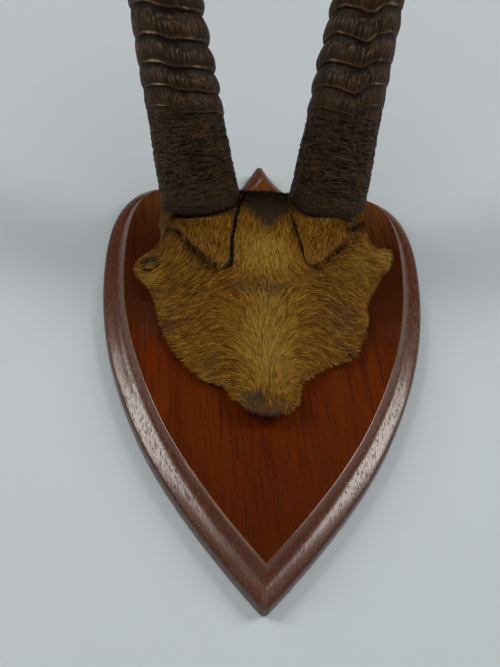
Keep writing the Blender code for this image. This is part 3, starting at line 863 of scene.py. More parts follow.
def horn_mesh(name, horn):
    """A horn as a tube of loops, with its notes."""
    lengths = np.concatenate([
        np.linspace(0, MIDDLE_AT, ROWS_TO_MIDDLE, endpoint=False),
        MIDDLE_AT + (HORN_LENGTH - MIDDLE_AT) * np.linspace(0, 1, ROWS_TO_TIP) ** ROW_SPREAD,
    ])
    turn = np.linspace(0, 2 * pi, AROUND, endpoint=False)
    inward = (horn["side"] * (turn - pi / 2) + pi) % (2 * pi) - pi
    lengths = lengths[:, None] + foot_cut(horn, inward) * np.clip(1 - lengths[:, None] / FOOT_REACH, 0, 1)
    marks, places, along = horn_track(horn)
    place = np.stack([np.interp(lengths, marks, places[:, axis]) for axis in range(3)], -1)
    along = np.stack([np.interp(lengths, marks, along[:, axis]) for axis in range(3)], -1)
    along /= np.linalg.norm(along, axis=-1, keepdims=True)
    across = np.array([1.0, 0, 0]) - along * along[..., :1]
    across /= np.linalg.norm(across, axis=-1, keepdims=True)
    forward = np.cross(across, along)
    height, notes = horn_relief(horn, lengths, inward[None])
    radius = girth(lengths) + height
    points = place + across * (radius * np.cos(turn))[..., None]
    points = points + forward * (radius * HORN_DEPTH_RATIO * np.sin(turn))[..., None]
    rows = len(lengths)
    ends = np.arange(AROUND)[None]
    mesh = mesh_from(name, points.reshape(-1, 3) * MM, tube_faces(rows, AROUND), ends[:, ::-1],
                     ends + (rows - 1) * AROUND)
    straight = np.stack([radius * np.cos(turn), radius * np.sin(turn), lengths], -1)
    note(mesh, "straight", straight.reshape(-1, 3))
    for key, values in notes.items():
        note(mesh, key, np.broadcast_to(values, radius.shape).ravel())
    return mesh


horn_meshes = {name: horn_mesh(name + "_sheath", horn) for name, horn in HORNS.items()}
print("horns:", ROWS_TO_MIDDLE + ROWS_TO_TIP, "loops of", AROUND, "points each")

# %% [markdown]
# Horn is keratin, like a fingernail: nearly black here, with warm brown where it is worn thin. The
# lips of the rings that face the front are paler and amber, partly the horn's own worn edge and
# partly painted highlight, with whitish painted gleams at a few angles round each horn. Painted
# shade darkens each groove below its lip and the foot, and dust sits in the wrinkles near the skin.
# A dry, fine fibre runs up the whole length, as pale and dark streaks and as a bump; the pale
# streaks show most on the bellies of the rings, where their sheen is painted. The noise is read at
# the straightened places, so that it bends with the horn.

# %% The colours of horn
HORN = {
    "black": (0.018, 0.0085, 0.0030), "brown": (0.031, 0.0135, 0.0038), "pale streak": (0.120, 0.076, 0.040),
    "dark streak": (0.0055, 0.003, 0.0015), "grime": (0.0065, 0.0030, 0.0010), "dust": (0.066, 0.032, 0.010),
    # the groove colour is painted shade in the grooves and at the foot
    "crumb": (0.090, 0.050, 0.021), "crack": (0.005, 0.0028, 0.0014), "groove": (0.0065, 0.0037, 0.002),
    # the lip and amber lip colours are partly the horn's own amber edge and partly painted highlight; the
    # last, whitish one is a painted gleam
    "lip": (0.075, 0.044, 0.022), "amber lip": (0.115, 0.045, 0.008), "painted gleam": (0.56, 0.42, 0.28),
}
print("horn colours:", ", ".join(HORN))

# %% [markdown]
# The dark body of the horn comes first, then the streaks, then what lies on the foot, and last the
# painted shade of the grooves and the lips with their partly painted highlight and painted gleams,
# which the notes on the points have marked.

# %% The dark horn
horn_finish, tree, shader = new_finish("dark ringed horn", 0.45, Specular_IOR_Level=0.1)
where = noted(tree, "straight", "Vector")
streaks = noise(tree, where, 0.85, (1, 1, 0.08), detail=3, rough=0.65)
patches = noise(tree, where, 0.045, detail=3)
speckle = noise(tree, where, 0.9, (1, 1, 0.8), detail=3, rough=0.7)
crumbs = noise(tree, where, 1.0, (0.55, 0.55, 1.9), detail=4, rough=0.7)
crust, rugged, lip = [noted(tree, name) for name in ("crust", "rugged", "lip")]
on_belly = spread(tree, noted(tree, "belly"), 0.0, 1.0, 0.3, 1.0)
amber = spread(tree, patches, 0.48, 0.60, 0.0, 0.9)
amber = times(tree, lip, amber, spread(tree, speckle, 0.34, 0.60, 0.3, 1.0))
colour = layered(
    tree, HORN["black"],
    (spread(tree, patches, 0.4, 0.62), HORN["brown"]),
    # pale streaks, strongest on the bellies of the rings: the horn's own fibre, with its sheen painted there
    (times(tree, spread(tree, streaks, 0.51, 0.67, 0.0, 0.85), on_belly), HORN["pale streak"]),
    (spread(tree, streaks, 0.49, 0.38, 0.0, 0.85), HORN["dark streak"]),
    (rugged, blend(tree, spread(tree, crumbs, 0.44, 0.60), HORN["grime"], HORN["dust"])),
    (spread(tree, crust, 0.1, 0.9, 0.0, 0.7), HORN["crumb"]),
    (spread(tree, crust, -0.1, -0.7, 0.0, 0.9), HORN["crack"]),
    # painted shade in the grooves and at the foot
    (times(tree, noted(tree, "groove"), 0.85), HORN["groove"]),
    # the lips: partly the horn's own amber edge, partly painted highlight
    (times(tree, lip, 0.6), HORN["lip"]),
    (amber, HORN["amber lip"]),
    # painted gleam: a whitish highlight on the lips at the listed angles
    (times(tree, noted(tree, "wear_and_gleam"), spread(tree, speckle, 0.36, 0.56)), HORN["painted gleam"]),
)
feed(tree, shader, Base_Color=colour, Roughness=spread(tree, streaks, 0.35, 0.65, 0.42, 0.62))
rough_foot = times(tree, crumbs, spread(tree, rugged, 0.0, 1.0, 0.3, 2.0))
roughen(tree, shader, combine(tree, "ADD", streaks, rough_foot), 0.0004)
for name, mesh in horn_meshes.items():
    place_piece(mesh, "horn", horn_finish, name)

# %% [markdown]
# ## The skin of the forehead
# The skin is stretched over the cut front of the skull and has dried hard. Its edge has shrunk
# and lifted from the board. The edge is a list of places with their height over the board, and a
# smooth closed curve runs through them. Each stretch of it is a cubic that takes its direction from
# the places before and after, so no handles have to be set.

# %% The edge of the skin
SKIN_CENTRE = np.array([0.0, -25.0])
SKIN_EDGE = np.array([              # edge of the skin, clockwise from the crown: x, z, height over the board
    (0, 57, 7), (26, 57, 7), (48, 55, 8), (61, 47, 9), (64, 36, 11.5), (63.0, 29.6, 14), (63.8, 20.8, 16),
    (65.0, 15.4, 16.8), (68.0, 12.0, 16.8), (71.8, 10.6, 16.5), (75.4, 11.2, 15.5), (77.2, 6.8, 15),
    (76.8, 0.6, 14), (75.2, -4.5, 12.5), (72.0, -8.1, 11), (68.8, -13, 9), (66.4, -17, 7.5), (61, -28, 5),
    (60.7, -39, 4.5), (58, -53.5, 4.5), (53.5, -64, 4.5), (50, -72.5, 4.5), (43, -75, 4.5),
    (34, -79, 4.5), (25.5, -87.5, 5), (18.8, -96, 6), (16.8, -107, 8), (12.5, -115.5, 9),
    (1.5, -118.5, 9), (-9, -116.5, 9), (-16, -109.5, 8), (-20, -101, 6), (-24.5, -97, 5),
    (-32, -93.5, 4.5), (-41.5, -84.5, 4.5), (-50, -75, 4.5), (-55.5, -65, 4.5), (-59.5, -55, 4.5),
    (-63, -42, 4.5), (-66, -31.5, 5), (-71, -24.5, 8), (-76.5, -20, 11), (-78.5, -14.5, 13),
    (-75, -7, 15), (-68, 0, 16), (-65.5, 10, 15), (-66.5, 21, 13), (-68, 32, 11), (-63, 44, 9),
    (-47, 53, 8), (-24, 56.5, 7),
])
EDGE_POINTS = 420
CURVE_STEPS_A_PLACE = 12


def smooth_edge(count):
    """Even steps along a smooth closed curve through the edge's own places, with their heights."""
    closed = np.concatenate([SKIN_EDGE[-1:], SKIN_EDGE, SKIN_EDGE[:2]])
    share = np.linspace(0, 1, CURVE_STEPS_A_PLACE, endpoint=False)[:, None]
    curve = []
    for before, start, end, after in zip(closed, closed[1:], closed[2:], closed[3:]):
        curve.append(0.5 * (2 * start + (end - before) * share
                            + (2 * before - 5 * start + 4 * end - after) * share**2
                            + (3 * start - before - 3 * end + after) * share**3))
    curve = np.concatenate([*curve, curve[0][:1]])
    run = np.concatenate([[0], np.cumsum(np.linalg.norm(np.diff(curve[:, :2], axis=0), axis=1))])
    steps = np.linspace(0, run[-1], count, endpoint=False)
    return np.stack([np.interp(steps, run, column) for column in curve.T], 1)


edge = smooth_edge(EDGE_POINTS)
edge, edge_height = edge[:, :2], edge[:, 2]
print("the skin is", np.ptp(edge, axis=0).round(1), "mm across and up")

# %% [markdown]
# Inside the edge the skin follows the skull. That could be sculpted by hand, but the solid under it
# has the right form already, with flat facets. So the form is read from that solid at a few hundred
# places, each with a straight line from the front, and none of them on a horn.

# %% Read the form of the skull from its solid
READ_AT = (0.96, 0.9, 0.8, 0.68, 0.54, 0.38, 0.2, 0.0)  # shares of the way out from the middle
EDGE_STRIDE = 6                     # every sixth place of the edge is used
HORN_ROOM = 3.5                     # the form isn't read this near to a horn
LOWEST = 1.0                        # a line that meets the solid lower than this has passed beside it
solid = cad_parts["scalp"].data
scalp_tree = BVHTree.FromPolygons([v.co for v in solid.vertices], [p.vertices for p in solid.polygons])


def solid_height(x, z):
    """Height of the solid over the board in millimetres, or None where a line from the front misses."""
    found = scalp_tree.ray_cast(Vector((x, -300, z)) * MM, Vector((0, 1, 0)))[0]
    return None if found is None else -found.y / MM - BOARD


def beside_a_horn(x, height, z, room):
    """Whether a place is within some room of a horn's surface."""
    here = np.array([x, -BOARD - height, z])
    for horn in HORNS.values():
        _, places, along = horn_track(horn)
        from_base = here - places[0]
        out = from_base - along[0] * (from_base @ along[0])
        if np.linalg.norm(out) < HORN_RADIUS * HORN_DEPTH_RATIO + room:
            return True
    return False


samples = [(x, z, height) for (x, z), height in zip(edge[::EDGE_STRIDE], edge_height[::EDGE_STRIDE])]
for share in READ_AT:
    stride = max(EDGE_STRIDE, round(10 / (share + 0.3)))        # fewer places on the short inner loops
    for x, z in SKIN_CENTRE + (edge[::stride] - SKIN_CENTRE) * share:
        height = solid_height(x, z)
        if height is not None and height > LOWEST and not beside_a_horn(x, height, z, HORN_ROOM):
            samples.append((x, z, height))
samples = np.unique(np.array(samples).round(4), axis=0)
print("form read at", len(samples), "places, up to", samples[:, 2].max().round(1), "mm above the board")

# %% [markdown]
# A surface through scattered places could be a mesh of triangles between them, and would show its
# facets again. A thin-plate surface bends like springy sheet metal instead: it is a plane plus one
# smooth swelling for each place, and how much of each is found by solving one set of equations.

# %% Lay a thin-plate surface through the places
PLATE_SOFTNESS = 18.0               # lets the surface pass a little beside each place, so no facet shows
AT_ONCE = 4000                      # places that are worked out together, to save memory


def plate_kernel(squared):
    """The swelling round one place, from the squared distance to it."""
    return squared * np.log(squared + 1e-9)


def fit_plate():
    """How much of each swelling, and of the plane, makes the surface pass the places."""
    ground, height = samples[:, :2], samples[:, 2]
    squared = ((ground[:, None] - ground[None]) ** 2).sum(2)
    flat = np.hstack([np.ones((len(ground), 1)), ground])
    bent = plate_kernel(squared) + PLATE_SOFTNESS * np.eye(len(ground))
    matrix = np.block([[bent, flat], [flat.T, np.zeros((3, 3))]])
    return np.linalg.solve(matrix, np.concatenate([height, np.zeros(3)]))


plate = fit_plate()


def plate_height(x, z):
    """Height of the smooth form over the board at arrays of places."""
    shape = np.shape(x)
    x, z = np.ravel(x), np.ravel(z)
    height = np.empty(len(x))
    for first in range(0, len(x), AT_ONCE):
        part = slice(first, first + AT_ONCE)
        squared = (x[part, None] - samples[:, 0]) ** 2 + (z[part, None] - samples[:, 1]) ** 2
        height[part] = plate_kernel(squared) @ plate[: len(samples)]
    return (height + plate[-3] + plate[-2] * x + plate[-1] * z).reshape(shape)


miss = plate_height(samples[:, 0], samples[:, 1]) - samples[:, 2]
print("the smooth form passes within", np.abs(miss).max().round(2), "mm of every place")

# %% [markdown]
# Two V-shaped cuts run down from the horns, where the skin was opened to be taken off and sewn
# again. The seams have pulled into cracks. A crack is a line of places and a hollow along it,
# with the skin rolled up a little on both sides. Such lines could be sculpted, but as lists of
# places they stay easy to move. Outside each horn a scrap of eyelid is left, dried into a small
# hollow with dark creases round it.

# %% Seams, lids and folds as lists of places
SEAMS = {                           # places along each seam, x and z, with its depth and width
    "left inner": (
        [(-17, 27), (-18.5, 19.9), (-19.7, 12.4), (-20.7, 6), (-21.3, -2.1), (-22.3, -10.1),
         (-22.3, -19), (-22.5, -26.4), (-25.8, -28.4)], 2.4, 1.0),
    "left outer": (
        [(-62, 8), (-56, 0.1), (-51.3, -9.1), (-46.3, -14.7), (-41.4, -18.9), (-35.9, -23.5),
         (-28.5, -28.6)], 2.2, 0.8),
    "right inner": (
        [(13.5, 14), (15.6, 4.7), (17.4, -6.4), (18.8, -11.6), (20.3, -19.4), (23.1, -25)], 1.5, 0.62),
    "right outer": (
        [(54, 3), (49.3, -4.9), (42.9, -10.7), (36.9, -17), (31.6, -22.4), (25, -25.8)], 1.9, 0.85),
    "right tear": ([(62, 33), (57.5, 28), (53.5, 17), (49.8, 4.5)], 3.2, 1.5),
    "lower right nick": ([(52, -73), (48.5, -70.5)], 1.2, 0.8),
}
RUBBED_SEAM = "left inner"          # the one whose rolled-up sides are rubbed bare
CREASES = (                         # the dark creases of the two dried eyelids
    [(-75, -15.8), (-75.5, -12.8), (-74.8, -10.6), (-73.5, -9.8), (-71.6, -9.4)],
    [(-74.6, -13.4), (-72.3, -13.4), (-68.6, -13.6), (-67.4, -14.3), (-64.9, -17.2)],
    [(-75, -15.8), (-74.5, -17.5), (-69.1, -18.6)],
    [(63.4, 20.5), (64.8, 15.2), (67.6, 11.8), (71.4, 10.2), (75, 10.2)],
)
CREASE_DEPTH, CREASE_WIDTH = 0.8, 0.5
FOLDS = [                           # places along a low fold: it stands up by the height given
    ([(-57, -8), (-49, -16), (-41, -23), (-33, -29)], 0.9, 1.6),
    ([(-60, -14), (-52, -21), (-44, -28)], 0.5, 1.8),
    ([(50, -8), (44, -17), (36, -24), (27, -29)], 0.8, 1.6),
    ([(33, -60), (42, -61), (52, -58)], 0.7, 2.0),
]
LIDS = (                            # x, z, half length, half width, slant in degrees, depth
    (-70.4, -13.6, 3.8, 2.2, -12, 0.7),
    (68.6, 12.6, 5.2, 1.8, -34, 0.8),
)
PALE_LIDS = ((-69.9, -13.8, 2.9, 1.3, -8, 0.0),)        # a swelling in the left lid, painted pale as a highlight
print("seams:", len(SEAMS), " creases:", len(CREASES), " folds:", len(FOLDS), " lids:", len(LIDS))

# %% [markdown]
# How much height each of these adds depends on how far a place is from its line, or from the rim of
# its oval, so two small measuring functions serve them all. A third one says how near to the
# skin's edge a place is.

# %% Measure on the skin
def distance_to_line(x, z, places):
    """Distance from places on the skin to a line through given places."""
    best = np.full(np.shape(x), 1e9)
    for (x0, z0), (x1, z1) in zip(places, places[1:]):
        dx, dz = x1 - x0, z1 - z0
        share = np.clip(((x - x0) * dx + (z - z0) * dz) / (dx * dx + dz * dz), 0, 1)
        best = np.minimum(best, np.hypot(x - x0 - share * dx, z - z0 - share * dz))
    return best


def lid_reach(x, z, lid):
    """1 on the rim of a lid's oval, less inside and more outside."""
    x0, z0, long, wide, slant = lid[:5]
    c, s = cos(radians(slant)), sin(radians(slant))
    u, v = (x - x0) * c + (z - z0) * s, (z - z0) * c - (x - x0) * s
    return np.hypot(u / long, v / wide)


def within_edge(x, z):
    """How far out a place is, as a share of the way from the middle to the edge, and its angle."""
    around = np.arctan2(edge[:, 1] - SKIN_CENTRE[1], edge[:, 0] - SKIN_CENTRE[0])
    reach = np.hypot(*(edge - SKIN_CENTRE).T)
    order = np.argsort(around)
    angle = np.arctan2(z - SKIN_CENTRE[1], x - SKIN_CENTRE[0])
    far = np.hypot(x - SKIN_CENTRE[0], z - SKIN_CENTRE[1])
    return far / np.interp(angle, around[order], reach[order], period=2 * pi), angle


print("a place on the brow lies", round(float(within_edge(0.0, -45.0)[0]), 2), "of the way out")

# %% [markdown]
# The details are added up at any place that is asked for, and each also notes what the place is,
# for the colours. Lines on a real skin aren't straight, so the distances waver a little.

# %% The height that seams, folds and lids add
ROLL, ROLL_AT, ROLL_WIDTH = 0.5, 1.1, 0.9       # the rolled-up sides of a seam
SEAM_WAVER, CREASE_WAVER = 0.45, 0.2
LID_RIM, LID_RIM_AT, LID_RIM_WIDTH = 0.5, 1.15, 0.2
PALE_LID_SWELL = 0.5
SKIN_SPAN = 200.0


def skin_hills(x, z, length, cells, seed):
    """Hills over the skin: this long up and down, and this many over the span."""
    return hills(x / SKIN_SPAN + 0.5, z / length, cells, seed)


def skin_details(x, z):
    """Height that seams, folds and lids add, with notes of what each place is."""
    zero = np.zeros(np.shape(x))
    height, crack, wear_and_gleam, lid, pale_lid = [zero.copy() for _ in range(5)]
    waver = 0.5 * skin_hills(x, z, 2.5, 120, 61) + 0.5 * skin_hills(x, z, 6, 50, 64)
    for name, (places, depth, width) in SEAMS.items():
        away = np.abs(distance_to_line(x, z, places) + waver * SEAM_WAVER)
        rolled = np.exp(-(((away - width - ROLL_AT) / ROLL_WIDTH) ** 2))
        height += -depth * np.exp(-((away / width) ** 2)) + ROLL * rolled
        crack = np.maximum(crack, 1 - rise(width * 0.5, width * 1.15, away))
        if name == RUBBED_SEAM:
            wear_and_gleam = np.maximum(wear_and_gleam, 1 - rise(width + 0.1, width + 1.0, away))
    for places in CREASES:
        away = np.abs(distance_to_line(x, z, places) + waver * CREASE_WAVER)
        height += -CREASE_DEPTH * np.exp(-((away / CREASE_WIDTH) ** 2))
        crack = np.maximum(crack, 1 - rise(CREASE_WIDTH * 0.6, CREASE_WIDTH * 1.7, away))
    for places, tall, width in FOLDS:
        height += tall * np.exp(-((distance_to_line(x, z, places) / width) ** 2))
    for oval in LIDS:
        reach = lid_reach(x, z, oval)
        rim = np.exp(-(((reach - LID_RIM_AT) / LID_RIM_WIDTH) ** 2))
        height += -oval[5] * (1 - rise(0.3, 1.0, reach)) + LID_RIM * rim
        lid = np.maximum(lid, 1 - rise(0.9, 1.12, reach))
    for oval in PALE_LIDS:
        reach = lid_reach(x, z, oval)
        height += PALE_LID_SWELL * (1 - rise(0.2, 1.1, reach))
        pale_lid = np.maximum(pale_lid, 1 - rise(0.7, 1.15, reach))
    height += 0.45 * skin_hills(x, z, 14, 14, 62) + 0.18 * skin_hills(x, z, 5, 40, 63)
    return height, {"crack": crack, "wear_and_gleam": wear_and_gleam, "lid": lid, "pale_lid": pale_lid}


seam_x, seam_z = np.array(SEAMS["left inner"][0], float)[3:5].T
print("the left inner seam is", -skin_details(seam_x, seam_z)[0].round(1), "mm deep")

# %% [markdown]
# The height of the skin is then one function: the smooth form, less the fur that the solid holds,
# with the edge curled up here and there, the level crown between the horns, the collars of skin
# that climb the outer sides of the horns' feet, and the details. Hairs and thread ask it too, so
# they always lie on the skin.

# %% The height of the skin
SKIN_UNDER_FUR = 1.4                # the solid holds the fur too, so the skin lies this far inside
CURL, CURL_REACH = 0.7, 0.04        # how far the edge has curled up, and over which share of the way in
CROWN_DROP, CROWN_ARCH = 2.2, (0.012, 0.020)    # between the horns the skull is nearly level
CROWN_FROM, CROWN_TO, CROWN_MOST = 26, 44, 4.0
EDGE_THINNING = 0.9                 # the skin comes nearer to the solid's surface at its edge
COLLARS = ((-61.5, 14.0, 9.0, 5.0), (58.0, 18.5, 9.0, 5.0))     # x, z, reach and height


def skin_surface(x, z):
    """Height of the skin over the board."""
    reach, angle = within_edge(x, z)
    inside = SKIN_UNDER_FUR - EDGE_THINNING * rise(0.86, 1.0, reach)
    curled = rise(-0.2, 0.6, hills(angle / (2 * pi), np.zeros(np.shape(x)), 22, 73))
    curl = CURL * np.exp(-np.clip(1 - reach, 0, 1) / CURL_REACH) * curled
    arch = np.where(x < 0, *CROWN_ARCH)
    crown = rise(CROWN_FROM, CROWN_TO, z) * np.minimum(arch * x**2 - CROWN_DROP, CROWN_MOST)
    collar = sum(tall * np.exp(-((x - x0) ** 2 + (z - z0) ** 2) / far**2) for x0, z0, far, tall in COLLARS)
    collar = collar * (1 - rise(0.96, 1.02, reach))
    return plate_height(x, z) - inside + curl + crown + collar + skin_details(x, z)[0]


print("the skin's middle is", skin_surface(*SKIN_CENTRE[:, None])[0].round(1), "mm above the board")

# %% [markdown]
# The skin is one closed mesh, like a shallow bowl turned over: loops from the middle out to the
# edge, over the edge, a little way back underneath where the skin has curled up, and down the
# cut bone to the board. The edge is ragged, so the outline wavers before it is used. A Solidify
# modifier would give thickness too, but not the bone behind it.

# %% The skin as a mesh
SKIN_THICK = 1.5
TOP_LOOPS, LOOP_CROWDING = 96, 1.35             # the loops lie closer together near the edge
EDGE_LOOPS = (                      # over the edge: how far out, and how far below the top
    (0.45, 0.25), (0.6, 0.75), (0.35, 1.25), (-0.4, SKIN_THICK), (-3.0, SKIN_THICK + 0.3),
)
BONE_LOOPS = ((4.6, 0.8), (6.0, 0.45), (6.6, 0.0))      # down the bone: how far in, and the height left
DRAWN_IN = 0.7                      # the edge lies this far inside its list of places
RAGGED = ((0.8, 70, 71), (0.4, 190, 72))                # height, number and seed of nicks round the edge


def wavering_edge():
    """The edge with small nicks and bulges, and the outward direction at each of its points."""
    share = np.arange(EDGE_POINTS) / EDGE_POINTS
    along = np.roll(edge, -1, 0) - np.roll(edge, 1, 0)
    along /= np.linalg.norm(along, axis=1, keepdims=True)
    out = np.stack([-along[:, 1], along[:, 0]], 1)
    if (out * (edge - SKIN_CENTRE)).sum() < 0:
        out = -out
    waver = sum(tall * hills(share, np.zeros(EDGE_POINTS), cells, seed) for tall, cells, seed in RAGGED)
    return edge + out * (waver - DRAWN_IN)[:, None], out


def skin_mesh():
    """Points and faces of the skin, its middle point last."""
    rim, out = wavering_edge()
    share = 1 - (1 - np.linspace(0, 1, TOP_LOOPS)[1:]) ** LOOP_CROWDING
    ground = SKIN_CENTRE + (rim - SKIN_CENTRE) * share[:, None, None]
    height = skin_surface(ground[..., 0], ground[..., 1])
    loops = [np.dstack([ground[..., 0], -BOARD - height, ground[..., 1]])]
    top = height[-1]
    for offset, drop in EDGE_LOOPS:
        place = rim + out * offset
        loops.append(np.dstack([place[:, 0], -BOARD - np.maximum(top - drop, 0.6), place[:, 1]]))
    for inset, stays in BONE_LOOPS:
        place = rim - out * inset
        loops.append(np.dstack([place[:, 0], -BOARD - 0.3 - (top - SKIN_THICK) * stays * 0.9, place[:, 1]]))
    points = np.concatenate([loop.reshape(-1, 3) for loop in loops])
    rows = len(points) // EDGE_POINTS
    middle = (SKIN_CENTRE[0], -BOARD - skin_surface(*SKIN_CENTRE[:, None])[0], SKIN_CENTRE[1])
    points = np.concatenate([points, [middle]])
    here = np.arange(EDGE_POINTS)
    fan = np.stack([np.full(EDGE_POINTS, len(points) - 1), np.roll(here, -1), here], 1)
    foot = (np.arange(EDGE_POINTS) + (rows - 1) * EDGE_POINTS)[None]
    return points, [tube_faces(rows, EDGE_POINTS), fan, foot]


points, faces = skin_mesh()
print("skin:", len(points), "points")

# %% [markdown]
# The mesh takes the same notes as the height did, and one more: what lies on the rim or under it,
# where little light comes.

# %% The skin with its notes
RIM_SHADE = 0.6
skin = mesh_from("forehead_skin", points * MM, *faces)
for key, values in skin_details(points[:, 0], points[:, 2])[1].items():
    note(skin, key, values)
under = np.zeros(len(points))
under[(TOP_LOOPS - 1) * EDGE_POINTS : -1] = RIM_SHADE
under[TOP_LOOPS * EDGE_POINTS : -1] = 1
note(skin, "under", under)
face_outward(skin)
print("places on the rim or under it:", int((under > 0).sum()))

# %% [markdown]
# Where hair has gone the skin shows: brown and leathery, paler where it is rubbed along a seam,
# black in the cracks, dark brown in the dried lids, with a pale painted highlight on the swelling in
# the left one, and nearly black under the lifted edge. The notes on the points say where each of
# these is, and a fine noise mottles them.

# %% The dried skin
HIDE = {"dark": (0.045, 0.020, 0.005), "light": (0.10, 0.048, 0.012)}
RUBBED = {"dark": (0.030, 0.016, 0.007), "light": (0.105, 0.060, 0.026)}
HIDE_NOTES = {
    # the pale lid colour is a painted highlight on the swelling in the left lid
    "lid": (0.020, 0.013, 0.006), "pale_lid": (0.100, 0.070, 0.030), "crack": (0.005, 0.003, 0.002),
    "under": (0.010, 0.005, 0.003),
}
hide, tree, shader = new_finish("dried skin", 0.7, Specular_IOR_Level=0.07)
mottle = noise(tree, place_on(tree), 260, detail=4)
colour = layered(
    tree, blend(tree, mottle, HIDE["dark"], HIDE["light"]),
    (noted(tree, "wear_and_gleam"), blend(tree, mottle, RUBBED["dark"], RUBBED["light"])),
    *((noted(tree, name), over) for name, over in HIDE_NOTES.items()),
)
feed(tree, shader, Base_Color=colour)
roughen(tree, shader, mottle, 0.0006)
place_piece(skin, "fur_skin", hide, "scalp")

# %% [markdown]
# The left inner seam still has its thread: waxed, dark, and sewn over and over through both sides
# of the cut. Such a stitch is a coil stretched along the seam, so the thread is a thin tube whose
# middle is worked out as a helix that follows the crack.

# %% The thread in the seam
STITCH, STITCH_RADIUS, THREAD_RADIUS = 4.3, 1.0, 0.2
STEPS_A_STITCH, THREAD_SIDES = 16, 6
THREAD_LIFT, THREAD_FLATNESS = 1.5, 0.75        # over the skin's surface, whose crack lies deeper
WAX = ((0.010, 0.006, 0.004), (0.060, 0.034, 0.017))    # darkest and palest


def thread_mesh():
    """A tube along a helix round the left inner seam."""
    places = np.array(SEAMS["left inner"][0], float)[1:-1]
    run = np.concatenate([[0], np.cumsum(np.linalg.norm(np.diff(places, axis=0), axis=1))])
    stitches = run[-1] / STITCH
    turn = np.linspace(0, 2 * pi * stitches, round(stitches * STEPS_A_STITCH))
    along = turn / (2 * pi) * STITCH
    x, z = np.interp(along, run, places[:, 0]), np.interp(along, run, places[:, 1])
    loose = 1 + 0.4 * hills(along / run[-1], np.zeros(len(along)), 24, 95)
    height = skin_surface(x, z) + THREAD_LIFT + THREAD_FLATNESS * STITCH_RADIUS * np.sin(turn) * loose
    middle = np.stack([x + STITCH_RADIUS * np.cos(turn) * loose, -BOARD - height, z], 1)
    ahead = np.gradient(middle, axis=0)
    ahead /= np.linalg.norm(ahead, axis=1, keepdims=True)
    side = np.cross(ahead, (0.0, 0.3, 1.0))
    side /= np.linalg.norm(side, axis=1, keepdims=True)
    top = np.cross(side, ahead)
    around = np.linspace(0, 2 * pi, THREAD_SIDES, endpoint=False)[:, None]
    ring = side[:, None] * np.cos(around) + top[:, None] * np.sin(around)
    points = middle[:, None] + ring * THREAD_RADIUS
    ends = np.arange(THREAD_SIDES)[None]
    rows = len(middle)
    return mesh_from("seam_thread", points.reshape(-1, 3) * MM, tube_faces(rows, THREAD_SIDES),
                     ends[:, ::-1], ends + (rows - 1) * THREAD_SIDES)


waxed, tree, shader = new_finish("waxed thread", 0.5, Specular_IOR_Level=0.4)
grime = noise(tree, place_on(tree), 900, detail=3)
feed(tree, shader, Base_Color=blend(tree, grime, *WAX))
roughen(tree, shader, grime, 0.0001)
place_piece(thread_mesh(), "fur_skin", waxed)

# %% [markdown]
# ## The hair
# The hair is short and lies flat. Blender's own hair is a particle system or a curve object, and
# neither goes out with an exported model, so each hair here is a real, narrow blade of three
# triangles. What gives it away as this animal is how it lies: between the horns it runs down,
# from the nose it runs up, and where the two meet on the brow it parts and sweeps out over both
# cheeks in arches. That is drawn as combing strokes, a place and a direction each, and every
# hair takes the mean direction of the strokes near it.

# %% How the hair is combed
STROKES = np.array([                # x, z and direction in degrees: 0 is to the right, 90 is up
    (-4, -5, -90), (-15, -11, -94), (8, -9, -81), (-4, -25, -89), (-14, -26, -99), (9, -24, -80),
    (-3, -57, 91), (-2, -75, 91), (-1, -94, 91), (-1, -107, 90), (-10, -57, 108), (-16, -56, 124),
    (-22, -53, 146), (-28, -52, 166), (-34, -51, -155), (-42, -51, -147), (-52, -53, -172),
    (7, -56, 74), (14, -49, 56), (18, -51, 39), (27, -45, 15), (37, -47, -12), (47, -43, -10),
    (55, -46, 6), (-9, -75, 113), (-14, -75, 132), (-20, -74, 163), (-30, -71, -166),
    (-38, -69, -161), (-47, -66, 175), (6, -75, 69), (11, -73, 48), (17, -71, 26), (28, -66, -9),
    (40, -61, -14), (50, -55, 4), (-10, -94, 118), (-15, -92, 158), (-23, -91, -168),
    (-35, -85, -150), (8, -94, 67), (14, -91, 31), (22, -85, 0), (31, -79, -31), (-17, -104, -142),
    (16, -104, -39), (-3, -111, 92), (-10, -117, 140), (-4, -119, 110), (0, -120, 91),
    (9, -118, 45), (14, -113, 0), (-48, -2, -77),
    (-36, -2, -83), (-27, -3, -93), (-38, -14, -67), (-29, -17, -94), (24, 2, -96), (36, 1, -102),
    (46, 6, -107), (29, -13, -119), (36, -8, -124), (-63, 2, -99), (-56, -12, -113),
    (-61, -24, 171), (-52, -25, -150), (-43, -29, -151), (-34, -35, -164), (-54, -36, -179),
    (56, -1, -3), (46, -14, 0), (37, -25, 2), (31, -32, 15), (46, -23, -2), (59, -10, 16),
    (70, -3, 20), (57, -19, -1), (-4, 22, -90), (-12, 38, -60), (10, 38, -120), (0, 46, 90),
    (-22, -36, -158), (18, -32, -16), (-74, -14, 175),
], float)
COMB_REACH = 5.5                    # millimetres over which a stroke loses its pull


def combed(x, z):
    """Direction in which the hair lies, as two components."""
    east, north = np.zeros(len(x)), np.zeros(len(x))
    for stroke_x, stroke_z, angle in STROKES:
        squared = (x - stroke_x) ** 2 + (z - stroke_z) ** 2
        pull = 1 / (squared + COMB_REACH**2) ** 2
        east += pull * cos(radians(angle))
        north += pull * sin(radians(angle))
    size = np.hypot(east, north) + 1e-12
    return east / size, north / size


print("combing strokes:", len(STROKES))

